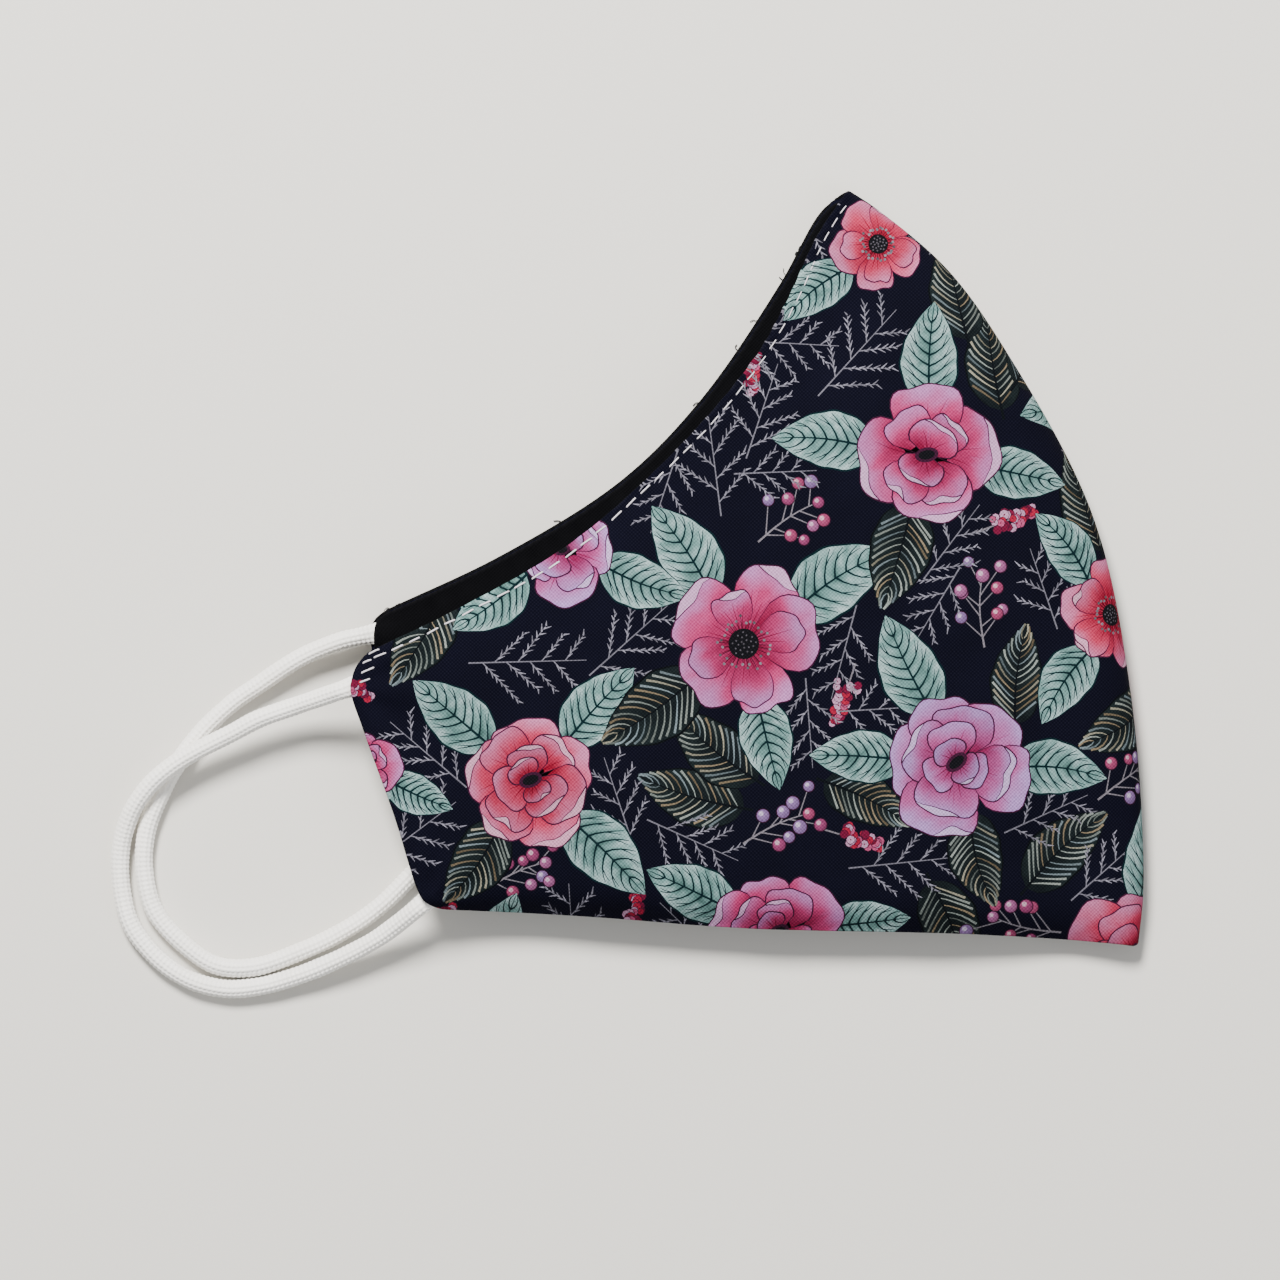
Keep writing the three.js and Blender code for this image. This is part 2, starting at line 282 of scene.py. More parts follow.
def left_of(heading):
    return np.stack([-heading[..., 1], heading[..., 0]], axis=-1)


def direction(angle):
    return np.array([math.cos(angle), math.sin(angle)])


def spin(angle):
    """What turns rows of places by an angle."""
    c, s = direction(angle)
    return np.array([[c, s], [-s, c]])


def ridge(off, width):
    """1 where off is 0, falling off to either side over the width."""
    return np.exp(-((off / width) ** 2))


def lengths_along(points):
    return np.concatenate([[0], np.cumsum(np.linalg.norm(np.diff(points, axis=0), axis=1))])


def closest(places, targets, most=20000):
    """Which target is nearest to each place, worked out for so many places at a time."""
    found = np.empty(len(places), int)
    for start in range(0, len(places), most):
        part = places[start : start + most]
        gap = (part[:, None, 0] - targets[None, :, 0]) ** 2
        gap += (part[:, None, 1] - targets[None, :, 1]) ** 2
        found[start : start + most] = np.argmin(gap, axis=1)
    return found


class Line:
    """A curve read by the share of its length. Past its ends it goes straight on."""

    def __init__(self, points):
        self.points = points
        run = lengths_along(points)
        self.length = run[-1]
        self.shares = run / run[-1]

    def at(self, share):
        share = np.asarray(share, float)
        inside = np.clip(share, 0, 1)
        place = np.stack([np.interp(inside, self.shares, column) for column in self.points.T], axis=-1)
        first = (self.points[1] - self.points[0]) / self.shares[1]
        last = (self.points[-1] - self.points[-2]) / (1 - self.shares[-2])
        return place + np.minimum(share, 0)[..., None] * first + np.maximum(share - 1, 0)[..., None] * last

    def heading(self, share):
        """Direction of the curve there. Past its ends it is that of the end."""
        share = np.clip(share, 0, 1)
        return unit(self.at(np.clip(share + 0.003, 0, 1)) - self.at(np.clip(share - 0.003, 0, 1)))

    def nearest(self, places):
        """Share of the length nearest to each place, and the distance, positive to the left."""
        share = self.shares[closest(places, self.points)]
        for _ in range(2):
            slide = np.sum((places - self.at(share)) * self.heading(share), axis=1)
            share = np.clip(share + slide / self.length, 0, 1)
        ahead = self.heading(share)
        off = places - self.at(share)
        side = ahead[:, 0] * off[:, 1] - ahead[:, 1] * off[:, 0]
        return share, np.where(side < 0, -1, 1) * np.linalg.norm(off, axis=1)


def smooth_table(rows):
    """A value between a table's rows, on a smooth curve."""
    at, value = np.array(rows, float).T
    slope = np.gradient(value, at)

    def read(x):
        x = np.clip(x, at[0], at[-1])
        i = np.clip(np.searchsorted(at, x) - 1, 0, len(at) - 2)
        step = at[i + 1] - at[i]
        u = (x - at[i]) / step
        return hermite(u, value[i], slope[i] * step, value[i + 1], slope[i + 1] * step)

    return read


def smooth_step(x, low, high):
    u = np.clip((x - low) / (high - low), 0, 1)
    return u * u * (3 - 2 * u)


def on_plan(shares):
    return (np.asarray(shares, float) - 0.5) * [MASK_LENGTH, MASK_HEIGHT]


def bell(places, centre, turn, long, wide):
    """1 at the centre, falling off over the reach along and across the turn."""
    along, across = ((places - centre) @ spin(-math.radians(turn))).T
    return ridge(along, long) * ridge(across, wide)


# The two halves

def edge_line(shares):
    return Line(curve_through(on_plan(shares)))


SEAM = edge_line(SEAM_EDGE)
open_across = smooth_table(OPEN_ACROSS)
open_along = smooth_table(OPEN_ALONG)


def seam_height(t):
    return HALF_THICKNESS + LAYER_GAP + SEAM_RISE * np.sqrt(np.sin(np.pi * np.clip(t, 0, 1)))


class Half:
    """One half of the mask. s runs from ear edge to seam and t from chin edge to nose edge."""

    def __init__(self, edges, near):
        self.near = near
        self.nose = edge_line(edges["nose"])
        self.chin = edge_line(edges["chin"])
        self.ear = edge_line(edges["ear"])
        grid = np.linspace(0, 1, 25)
        self.guess = np.array([(s, t) for s in grid for t in grid])
        self.guess_places = self.plan(self.guess[:, 0], self.guess[:, 1])

    def plan(self, s, t):
        s, t = np.asarray(s, float)[..., None], np.asarray(t, float)[..., None]
        across = self.chin.at(s[..., 0]) * (1 - t) + self.nose.at(s[..., 0]) * t
        along = self.ear.at(t[..., 0]) * (1 - s) + SEAM.at(t[..., 0]) * s
        low = self.chin.at(0.0) * (1 - s) + self.chin.at(1.0) * s
        high = self.nose.at(0.0) * (1 - s) + self.nose.at(1.0) * s
        return across + along - (low * (1 - t) + high * t)

    def locate(self, places):
        """s and t of each place on the plan."""
        st = self.guess[closest(places, self.guess_places)]
        tiny = 1e-3
        for _ in range(6):
            s, t = st.T
            here = self.plan(s, t)
            ds = (self.plan(s + tiny, t) - here) / tiny
            dt = (self.plan(s, t + tiny) - here) / tiny
            miss = places - here
            area = ds[:, 0] * dt[:, 1] - ds[:, 1] * dt[:, 0]
            area = np.where(np.abs(area) < 50, 50, area)
            step_s = (miss[:, 0] * dt[:, 1] - miss[:, 1] * dt[:, 0]) / area
            step_t = (ds[:, 0] * miss[:, 1] - ds[:, 1] * miss[:, 0]) / area
            st += np.clip(np.stack([step_s, step_t], axis=1), -0.2, 0.2)
            st = np.clip(st, -0.06, 1.06)
        return st.T

    def far_lift(self, places):
        away = np.linalg.norm(places - FAR.nose.at(0.0), axis=1)
        return FAR_CORNER_LIFT * (1 - smooth_step(away, 0, FAR_CORNER_REACH))

    def level(self, places, s, t, from_seam):
        """Height of the outside of the cloth, away from the seam."""
        lift = self.far_lift(places)
        if not self.near:
            return lift
        at_seam = 2 * (seam_height(t) - HALF_THICKNESS)
        away = HOLLOW_DEPTH * open_across(t) * open_along(s)
        opening = at_seam + (away - at_seam) * smooth_step(from_seam, 0, OPENING_RUN)
        dents = sum(
            rise * HOLLOW_DEPTH * bell(places, on_plan((x, y)), turn, long * MASK_LENGTH, wide * MASK_HEIGHT)
            for x, y, turn, long, wide, rise in NEAR_DENTS
        )
        return 2 * HALF_THICKNESS + opening + dents + lift


# How far a quarter of the seam's rounding runs, for a height of 1, and where each part of it lies.
TURNS = np.linspace(0, math.pi / 2, 200)
TURN_RUN = lengths_along(np.stack([-SEAM_ROUNDNESS * np.cos(TURNS), np.sin(TURNS)], axis=1))
SEAM_SPARE = TURN_RUN[-1] - SEAM_ROUNDNESS


class Surface:
    """One side of a layer of cloth, as a map from the cloth laid flat to its place in space.

    The flat cloth lies on the plan, and towards the seam it goes on past it by what the rounding takes up.
    """

    STEP = 0.4
    MARGIN = 6

    def __init__(self, half, depth, creases=None):
        self.half = half
        low = np.array([-MASK_LENGTH, -MASK_HEIGHT]) / 2 - self.MARGIN
        counts = np.ceil((np.array([MASK_LENGTH, MASK_HEIGHT]) + 2 * self.MARGIN) / self.STEP).astype(int)
        self.low = low
        xs = low[0] + self.STEP * np.arange(counts[0])
        ys = low[1] + self.STEP * np.arange(counts[1])
        flat = np.stack(np.meshgrid(xs, ys, indexing="ij"), axis=-1).reshape(-1, 2)
        grid = self.shape(flat, depth, creases).reshape(counts[0], counts[1], 3)
        along_x = np.gradient(grid, self.STEP, axis=0)
        along_y = np.gradient(grid, self.STEP, axis=1)
        normal = unit(np.cross(along_x, along_y))
        if not half.near:
            normal = -normal
        self.grid = np.concatenate([grid, normal], axis=-1)

    def shape(self, flat, depth, creases):
        share, off = SEAM.nearest(flat)
        height = seam_height(share) - SEAM_GAP / 2
        radius = SEAM_ROUNDNESS * height
        arc = off + height * SEAM_SPARE
        turning = arc < height * TURN_RUN[-1]
        turn = np.interp(np.clip(arc / height, 0, None), TURN_RUN, TURNS)
        from_seam = np.where(turning, radius - radius * np.cos(turn), off)
        inward = left_of(SEAM.heading(share))
        places = np.where(turning[:, None], SEAM.at(share) + inward * from_seam[:, None], flat)
        s, t = self.half.locate(places)
        side = seam_height(t) + (SEAM_GAP / 2 if self.half.near else -SEAM_GAP / 2)
        outward = 1 if self.half.near else -1
        level = self.half.level(places, s, t, from_seam) - outward * depth
        if creases is not None:
            level = level + outward * creases(places, from_seam)
        rounded = np.where(turning, np.sin(turn), 1)
        z = side + (level - side) * rounded + outward * np.minimum(arc, 0)
        shift = np.where(turning, depth * np.cos(turn), 0)[:, None]
        return np.concatenate([places + inward * shift, z[:, None]], axis=1)

    def read(self, flat):
        """Places and outward normals for points of the flat cloth."""
        spot = (np.asarray(flat, float) - self.low) / self.STEP
        most = np.array(self.grid.shape[:2]) - 2
        cell = np.clip(np.floor(spot).astype(int), 0, most)
        u, v = np.clip(spot - cell, 0, 1).T[..., None]
        i, j = cell.T
        value = (
            self.grid[i, j] * (1 - u) * (1 - v)
            + self.grid[i + 1, j] * u * (1 - v)
            + self.grid[i, j + 1] * (1 - u) * v
            + self.grid[i + 1, j + 1] * u * v
        )
        return value[:, :3], unit(value[:, 3:])


def flat_outline(half, inset, rim, step):
    """Outline of the flat cloth, anticlockwise, drawn in from the free edges and let out past the seam."""
    corners = []
    for line, backwards in ((half.chin, False), (SEAM, False), (half.nose, True), (half.ear, True)):
        u = np.linspace(0, 1, max(8, int(line.length / step)) + 1)
        run = line.at(1 - u if backwards else u)
        let = seam_spare(u, rim) if line is SEAM else np.full(len(u), -(inset + rim))
        outward = -left_of(unit(np.gradient(run, axis=0)))
        corners.append((run + outward * let[:, None], outward, let, run))
    outline = []
    for k, (moved, outward, let, run) in enumerate(corners):
        _, before_out, before_let, _ = corners[k - 1]
        matrix = np.array([before_out[-1], outward[0]])
        if abs(np.linalg.det(matrix)) > 0.2:
            corner = run[0] + np.linalg.solve(matrix, np.array([before_let[-1], let[0]]))
        else:
            corner = moved[0]
        first, last = CORNER_ROUNDING[k], CORNER_ROUNDING[(k + 1) % 4]
        keep = np.linalg.norm(moved - run[0], axis=1) > first
        keep &= np.linalg.norm(moved - run[-1], axis=1) > last
        outline.append((corner, moved[keep]))
    bent = []
    for k, (corner, side) in enumerate(outline):
        before = outline[k - 1][1][-1]
        u = np.linspace(0, 1, 2 + int(CORNER_ROUNDING[k] / CORNER_STEP))[1:-1, None]
        bent += [before * (1 - u) ** 2 + corner * 2 * u * (1 - u) + side[0] * u**2, side]
    return np.vstack(bent)


def seam_spare(share, rim):
    """How far past the seam the flat cloth goes, so that it can turn round it."""
    return (seam_height(share) - SEAM_GAP / 2) * SEAM_SPARE - rim


# The print: flat shapes in painter's order, each with the paint that colours it

def tone(code):
    """A colour written in hex, as the linear numbers that a material takes."""
    parts = np.array([int(code[i : i + 2], 16) for i in (1, 3, 5)]) / 255
    return np.where(parts <= 0.04045, parts / 12.92, ((parts + 0.055) / 1.055) ** 2.4)


def dye(code):
    """A colour of the print, which comes out deeper on dark cloth than on white."""
    return DYE_STRENGTH * tone(code) ** DYE_DEPTH


BLACK = tone("#08080a")
GROUND = tone("#060612")
INK = tone("#2c0e22")
EYE = tone("#0b0b0f")
STAMEN = tone("#6b6670")
STEM = tone("#6f6a72")
FERN = tone("#74727e")
PETALS = {
    "coral": (dye("#a01c3e"), dye("#d04f70"), dye("#d68db2")),
    "pink": (dye("#982450"), dye("#c95286"), dye("#cc92c6")),
    "lilac": (dye("#9c3064"), dye("#c06ca2"), dye("#c4a0d8")),
}
MINT = (dye("#33544f"), dye("#86a9a6"), dye("#c6dadb"))
MINT_VEIN = dye("#15343a")
DARK_LEAF = (tone("#06090d"), tone("#0e1416"), tone("#141c1d"))
STRIPES = [tone("#68706c"), tone("#7b7869"), tone("#5f6b70"), tone("#767d78"), tone("#6b5f4c")]
BERRIES = [dye("#b878a4"), dye("#bb6088"), dye("#a386b6"), dye("#ae5c88")]
SPIKE = [dye("#b83454"), dye("#d0a8c4"), dye("#8c2a50"), dye("#c76a90")]

# The motifs that fill the gaps, one after another.
FILLINGS = ["leaf", "fern", "sprig", "leaf", "spike", "fern", "leaf", "fern", "sprig", "spike"]

# Blossoms: place, turn in degrees, width, kind and hue, and the leaves behind each: how many, their length
# in millimetres, and the turn of the first.
BLOSSOMS = [
    ((-37, -36), 20, 24, "full", "coral", 4, 17, 60),
    ((-1, -13), 75, 26, "open", "pink", 4, 18, 30),
    ((35, -33), 40, 25, "full", "lilac", 4, 18, 100),
    ((30, 19), 10, 24, "cup", "pink", 4, 17, 80),
    ((22, 55), 50, 17, "open", "coral", 2, 13, 215),
    ((-32, 3), 0, 20, "cup", "lilac", 3, 15, 225),
    ((5, -62), 30, 23, "full", "pink", 3, 16, 20),
    ((62, -8), 15, 19, "open", "coral", 3, 15, 130),
    ((-66, -34), 0, 14, "cup", "pink", 1, 12, 330),
    ((68, 36), 0, 22, "full", "pink", 3, 16, 90),
    ((-68, 28), 40, 24, "open", "coral", 4, 17, 10),
    ((-28, 44), 10, 24, "full", "pink", 4, 17, 50),
    ((66, -66), 70, 24, "cup", "coral", 3, 17, 80),
    ((-50, -76), 20, 22, "open", "lilac", 3, 16, 60),
]


def mottle(places, scale):
    """Soft blotches of about that size, between -1 and 1."""
    x, y = places.T / scale
    wave = np.sin(2.1 * x + 1.7 * np.sin(1.3 * y + 0.4)) * np.cos(1.9 * y - 1.1 * np.sin(1.7 * x))
    return 0.6 * wave + 0.4 * np.sin(4.3 * x - 3.1 * y + 2 * np.sin(2.7 * y))


def blend(low, high, amount):
    return low + (high - low) * np.clip(amount, 0, 1)[:, None]


def ramp(colours, amount):
    """From the first colour through the middle one to the last."""
    return np.where(
        (amount < 0.5)[:, None],
        blend(colours[0], colours[1], amount * 2),
        blend(colours[1], colours[2], amount * 2 - 1),
    )


def plain(colour):
    return lambda places: np.broadcast_to(colour, (len(places), 3))


class Print:
    """Shapes drawn on the flat cloth, in millimetres."""

    def __init__(self, seed):
        self.shapes = []
        self.taken = []
        self.random = np.random.default_rng(seed)

    def take(self, root, turn, shares, radius):
        """Note that a motif covers discs of this radius, that far out from its root."""
        heading = direction(turn)
        self.taken += [(*(np.asarray(root, float) + heading * share), radius) for share in shares]

    def add(self, outline, paint):
        """A closed shape, and its colour or the function that colours it place by place."""
        paint = paint if callable(paint) else plain(paint)
        outline = np.asarray(outline, float)
        x, y = outline.T
        if np.sum(x * np.roll(y, -1) - y * np.roll(x, -1)) < 0:
            outline = outline[::-1]
        self.shapes.append((outline, paint))

    def stroke(self, points, start, end, paint):
        """A thin line that tapers from one width to the other."""
        points = np.asarray(points, float)
        side = left_of(unit(np.gradient(points, axis=0)))
        width = np.linspace(start, end, len(points))[:, None] / 2
        self.add(np.vstack([points + side * width, (points - side * width)[::-1]]), paint)

    def disc(self, centre, radius, paint, sides=12, squash=1.0, turn=0.0):
        a = np.linspace(0, 2 * np.pi, sides, endpoint=False)
        ring = np.stack([np.cos(a), squash * np.sin(a)], axis=1) * radius
        self.add(centre + ring @ spin(turn), paint)

    def leaf(self, root, turn, length, width, bend, striped):
        heading = direction(turn)
        side = left_of(heading)
        wobble = self.random.uniform(0, 6, 2)
        self.take(root, turn, (0.2 * length, 0.45 * length, 0.7 * length), width * 0.42)

        def spot(u, v):
            """u along the leaf from 0 to 1, v across it from -1 to 1."""
            u, v = np.broadcast_arrays(np.asarray(u, float), np.asarray(v, float))
            along = np.clip(u, 0, 1)
            half = width / 2 * along**0.6 * (1 - along) ** 0.95 / 0.3556
            half = half * (1 + 0.022 * np.sin(26 * u + wobble[0] + 2 * v))
            rib = bend * length * np.sin(np.pi * u) * 0.5
            return root + np.multiply.outer(u * length, heading) + np.multiply.outer(rib + v * half, side)

        shades = DARK_LEAF if striped else MINT

        def blade(places):
            off = places - root
            u = off @ heading / length
            v = (off @ side - bend * length * np.sin(np.pi * np.clip(u, 0, 1)) * 0.5) / (width / 2)
            between = 0.5 - 0.5 * np.cos(2 * np.pi * count * (u - 0.05 - 0.19 * np.abs(v) ** 1.3) / 0.85)
            amount = 0.16 + 0.25 * u + 0.3 * np.abs(v) + 0.26 * between
            return ramp(shades, amount + 0.22 * mottle(places + wobble, 3.4))

        count = 13 if striped else 8
        u = np.linspace(0, 1, 24)
        rim = np.vstack([spot(u, 1), spot(u[::-1][1:-1], -1)])
        edge = np.vstack([spot(u, 1.07), spot(u[::-1][1:-1], -1.07)])
        self.add(edge, DARK_LEAF[0] * 0.7 if striped else MINT_VEIN)
        self.add(rim, blade)
        for k in range(count):
            start = 0.05 + 0.85 * k / count
            for hand in (-1, 1):
                reach = np.linspace(0, 1, 5)
                rise = start + (0.2 if striped else 0.19) * reach**1.3 + self.random.uniform(-0.008, 0.008)
                line = spot(np.clip(rise, 0, 0.985), hand * reach * 0.93)
                if striped:
                    colour = STRIPES[self.random.integers(len(STRIPES))] * self.random.uniform(0.35, 1.0)
                    self.stroke(line, 0.12, 0.24 + 0.008 * length, colour)
                else:
                    self.stroke(line, 0.36, 0.12, MINT_VEIN)
                    if k < count - 2:
                        twig = spot(
                            np.clip(rise[2] + np.linspace(0, 0.13, 3), 0, 0.98),
                            hand * np.linspace(0.48, 0.8, 3),
                        )
                        self.stroke(twig, 0.22, 0.08, MINT_VEIN * 1.3)
        rib = spot(np.linspace(-0.08, 0.97, 12), 0)
        self.stroke(rib, 0.5, 0.12, DARK_LEAF[0] if striped else MINT_VEIN)

    def petal(self, centre, turn, spread, inner, outer, shades, fold):
        """A fan between two radii, with a dark line round it and fine streaks from its root."""
        wobble = self.random.uniform(0, 6)
        lean = self.random.uniform(-0.08, 0.08)

        def spot(v, depth, grow=0.0):
            v = np.asarray(v, float)
            round_off = (1 - np.clip(np.abs(v), 0, 1) ** 3.2) ** 0.42
            frill = 1 + 0.035 * np.sin(5.5 * v + wobble) + 0.02 * np.sin(11 * v + 2 * wobble)
            radius = inner + (outer * frill - inner) * round_off * depth + grow
            angle = turn + spread * v * (1 + grow / outer) * (0.55 + 0.45 * depth) + lean * depth
            return centre + np.stack([np.cos(angle), np.sin(angle)], axis=-1) * radius[..., None]

        def body(places):
            off = places - centre
            radius = np.linalg.norm(off, axis=1)
            swing = (np.arctan2(off[:, 1], off[:, 0]) - turn + np.pi) % (2 * np.pi) - np.pi
            depth = (radius - inner) / (outer - inner)
            amount = 1.05 * depth**1.2 - 0.25 * (swing / spread) ** 2
            return ramp(shades, amount + 0.2 * mottle(places + wobble, 3.8))

        v = np.linspace(-1, 1, 22)
        self.add(np.vstack([spot(v, 1.0, 0.22), centre[None]]), INK)
        self.add(np.vstack([spot(v, 1.0), centre[None]]), body)
        for k in range(7):
            at = -0.72 + 0.24 * k + self.random.uniform(-0.05, 0.05)
            reach = self.random.uniform(0.4, 0.82)
            line = spot(np.full(3, at), np.linspace(0.08, reach, 3))
            dark = shades[0] * 0.8 if k % 2 else blend(shades[0], shades[1], np.array([0.45]))[0]
            self.stroke(line, 0.22, 0.04, dark)
        if fold:
            a, b = sorted(self.random.uniform(-0.75, 0.75, 2))
            if b - a < 0.5:
                a, b = -0.55, 0.35
            v = np.linspace(a, b, 9)
            lip = 1 - 0.17 * np.sin(np.pi * (v - a) / (b - a))
            curl = np.vstack([spot(v, 1.0), spot(v[::-1], lip[::-1])])
            light = blend(shades[2], np.ones(3), np.array([0.1]))[0]
            self.add(curl, light)
            self.stroke(spot(v, lip), 0.1, 0.2, INK)

    def blossom(self, centre, turn, size, kind, hue):
        centre = np.asarray(centre, float)
        shades = PETALS[hue]
        radius = size / 2
        self.take(centre, 0, (0,), radius)
        self.disc(centre, 0.45 * radius, shades[0] * 0.5, 16)
        rings = {
            "open": [(5, 0.74, 0.12, 1.0), (4, 0.62, 0.1, 0.8)],
            "full": [(5, 0.8, 0.3, 1.0), (4, 0.86, 0.2, 0.76), (3, 1.0, 0.1, 0.52), (2, 1.2, 0.06, 0.33)],
            "cup": [(4, 0.95, 0.25, 1.0), (4, 0.8, 0.16, 0.72), (2, 1.25, 0.08, 0.48)],
        }[kind]
        for level, (count, spread, inner, outer) in enumerate(rings):
            start = turn + level * 0.55
            for k in self.random.permutation(count):
                angle = start + 2 * np.pi * k / count + self.random.uniform(-0.2, 0.2)
                reach = outer * radius * self.random.uniform(0.84, 1.06)
                bright = 1.0 - 0.08 * level + self.random.uniform(-0.12, 0.12)
                tint = tuple(shade * bright for shade in shades)
                wide = spread * self.random.uniform(0.85, 1.15)
                self.petal(centre, angle, wide, inner * radius, reach, tint, self.random.random() < 0.55)
        if kind == "open":
            self.heart(centre, radius)
        else:
            self.disc(centre, 0.17 * radius, INK, 16, 0.62, turn)
            self.disc(centre, 0.12 * radius, EYE, 14, 0.55, turn)

    def heart(self, centre, radius):
        """A dark eye with a ring of stamens."""
        for k in range(30):
            angle = 2 * np.pi * k / 30 + self.random.uniform(-0.08, 0.08)
            reach = radius * self.random.uniform(0.26, 0.37)
            tip = centre + reach * direction(angle)
            self.stroke(np.linspace(centre, tip, 3), 0.16, 0.08, EYE)
            self.disc(tip, 0.26, STAMEN * self.random.uniform(0.25, 0.9), 7)
        self.disc(centre, 0.2 * radius, EYE, 20)
        for k in range(22):
            angle = 2.4 * k
            at = centre + 0.165 * radius * math.sqrt(k / 22) * direction(angle)
            self.disc(at, 0.16, STAMEN * 0.35, 6)

    def sprig(self, root, turn, size, count):
        """A branching stem of berries."""
        root = np.asarray(root, float)
        self.take(root, turn, (0.25 * size, 0.7 * size), 0.36 * size)
        stem = root + size * direction(turn) * np.linspace(0, 0.8, 8)[:, None]
        stem = stem + np.outer(np.sin(np.linspace(0, 2.4, 8)) * size * 0.07, left_of(direction(turn)))
        self.stroke(stem, 0.34, 0.16, STEM * 0.75)
        tips = []
        for k in range(count):
            at = stem[1 + (k * 6) // count]
            angle = turn + (1 if k % 2 else -1) * self.random.uniform(0.45, 1.0)
            tip = at + size * self.random.uniform(0.22, 0.42) * direction(angle)
            self.stroke(np.linspace(at, tip, 4), 0.24, 0.14, STEM * 0.7)
            tips.append(tip)
        for tip in tips + [stem[-1]]:
            berry = BERRIES[self.random.integers(len(BERRIES))]
            radius = self.random.uniform(0.85, 1.15)
            light = tip + np.array([-0.3, 0.32]) * radius
            self.disc(tip, radius + 0.16, INK * 0.7, 16)

            def ball(places, light=light, radius=radius, berry=berry):
                away = np.linalg.norm(places - light, axis=1) / radius
                return blend(berry * 1.1, berry * 0.5, away * 0.7)

            self.disc(tip, radius, ball, 16)
            self.disc(light, 0.4 * radius, blend(berry, np.ones(3), np.array([0.18]))[0], 8)

    def fern(self, root, turn, size, twigs):
        """A spiky spray: a stem, side twigs and fine needles."""
        root = np.asarray(root, float)
        self.take(root, turn, (0.25 * size, 0.55 * size, 0.85 * size), 0.24 * size)
        heading = direction(turn)
        stem = root + np.outer(np.linspace(0, size, 9), heading)
        self.stroke(stem, 0.26, 0.12, FERN * 0.55)
        for k in range(twigs):
            at = root + heading * size * (0.12 + 0.8 * k / twigs)
            hand = 1 if k % 2 else -1
            angle = turn + hand * self.random.uniform(0.7, 0.95)
            length = size * (0.42 - 0.2 * k / twigs) * self.random.uniform(0.85, 1.15)
            way = direction(angle)
            self.stroke(at + np.outer(np.linspace(0, length, 5), way), 0.2, 0.1, FERN * 0.6)
            for n in range(int(length / 0.62)):
                spot = at + way * (0.9 + 0.62 * n)
                lean = angle + (1 if n % 2 else -1) * self.random.uniform(0.35, 0.75)
                tip = spot + self.random.uniform(0.7, 1.35) * direction(lean)
                self.stroke(np.stack([spot, tip]), 0.3, 0.08, FERN * self.random.uniform(0.45, 1.0))

    def spike(self, root, turn, size):
        """A short head of tiny blooms on a stem."""
        root = np.asarray(root, float)
        self.take(root, turn, (0.4 * size, 0.8 * size), 0.24 * size)
        heading = direction(turn)
        side = left_of(heading)
        self.stroke(root + np.outer(np.linspace(0, size, 6), heading), 0.3, 0.16, STEM * 0.7)
        for k in range(34):
            u = 1.05 - 0.72 * k / 34 + self.random.uniform(-0.04, 0.04)
            at = root + heading * size * u + side * self.random.uniform(-1, 1) * size * 0.2 * (1.4 - u)
            colour = SPIKE[self.random.integers(len(SPIKE))]
            radius = self.random.uniform(0.55, 0.85)
            self.disc(at, radius + 0.1, INK * 0.8, 8)
            self.disc(at, radius, colour * self.random.uniform(0.8, 1.0), 8)
            self.disc(at, radius * 0.22, SPIKE[2] * 0.8, 5)

    def fill_gaps(self, smallest):
        """Leaves, ferns, berries and small heads, each in the widest gap that is left and along it."""
        places = np.array([(x, y) for x in np.arange(-84, 84, 2.0) for y in np.arange(-78, 78, 2.0)])
        turns = np.linspace(0, 2 * np.pi, 16, endpoint=False)
        ways = np.stack([np.cos(turns), np.sin(turns)], axis=1)
        rooms, counted = np.full(len(places), 99.0), 0

        def room(points, discs):
            discs = np.array(discs)
            gap = np.linalg.norm(points[:, None] - discs[None, :, :2], axis=2) - discs[None, :, 2]
            return gap.min(axis=1)

        for k in range(160):
            rooms = np.minimum(rooms, room(places, self.taken[counted:]))
            counted = len(self.taken)
            middle, widest = places[np.argmax(rooms)], rooms.max()
            if widest < smallest:
                return
            reach = min(9.5, 1.7 * widest + 1.5)
            steps = np.array([-reach, -0.6 * reach, 0.6 * reach, reach])
            clear = [room(middle + np.outer(steps, way), self.taken).min() for way in ways]
            turn = turns[int(np.argmax(clear))] + self.random.uniform(-0.15, 0.15)
            heading = direction(turn)
            kind = FILLINGS[k % len(FILLINGS)] if widest > 4 else "fern"
            if kind == "leaf":
                self.leaf(middle - reach * heading, turn, 2 * reach, 0.98 * reach, 0.08, True)
            elif kind == "fern":
                self.fern(middle - reach * heading, turn, 2.1 * reach, int(4 + 0.5 * reach))
            elif kind == "sprig":
                self.sprig(middle - 0.8 * reach * heading, turn, 1.6 * reach, 8)
            else:
                self.spike(middle - 6 * heading, turn, 10)


def draw_print(seed, filling_seed):
    """The whole design, on more cloth than either half takes."""
    posies = Print(seed)
    for place, _, size, _, _, leaves, length, first in BLOSSOMS:
        for k in range(leaves):
            way = math.radians(first) + 2 * np.pi * k / leaves + posies.random.uniform(-0.3, 0.3)
            root = np.array(place) + 0.36 * size * direction(way)
            long = length * posies.random.uniform(0.88, 1.14)
            posies.leaf(root, way, long, long * 0.54, posies.random.uniform(-0.14, 0.14), k == 2)
    for place, angle, size, kind, hue, *_ in BLOSSOMS:
        posies.blossom(place, math.radians(angle), size, kind, hue)
    between = Print(filling_seed)
    between.taken = list(posies.taken)
    between.fill_gaps(SMALLEST_GAP)
    return between.shapes + posies.shapes


def laid(design, shift, turn):
    """The design turned and moved, for a half that is cut from another place in the cloth."""
    return [(outline @ spin(turn) + shift, moved(paint, turn, shift)) for outline, paint in design]


def moved(paint, turn, shift):
    return lambda places: paint((places - shift) @ spin(-turn))


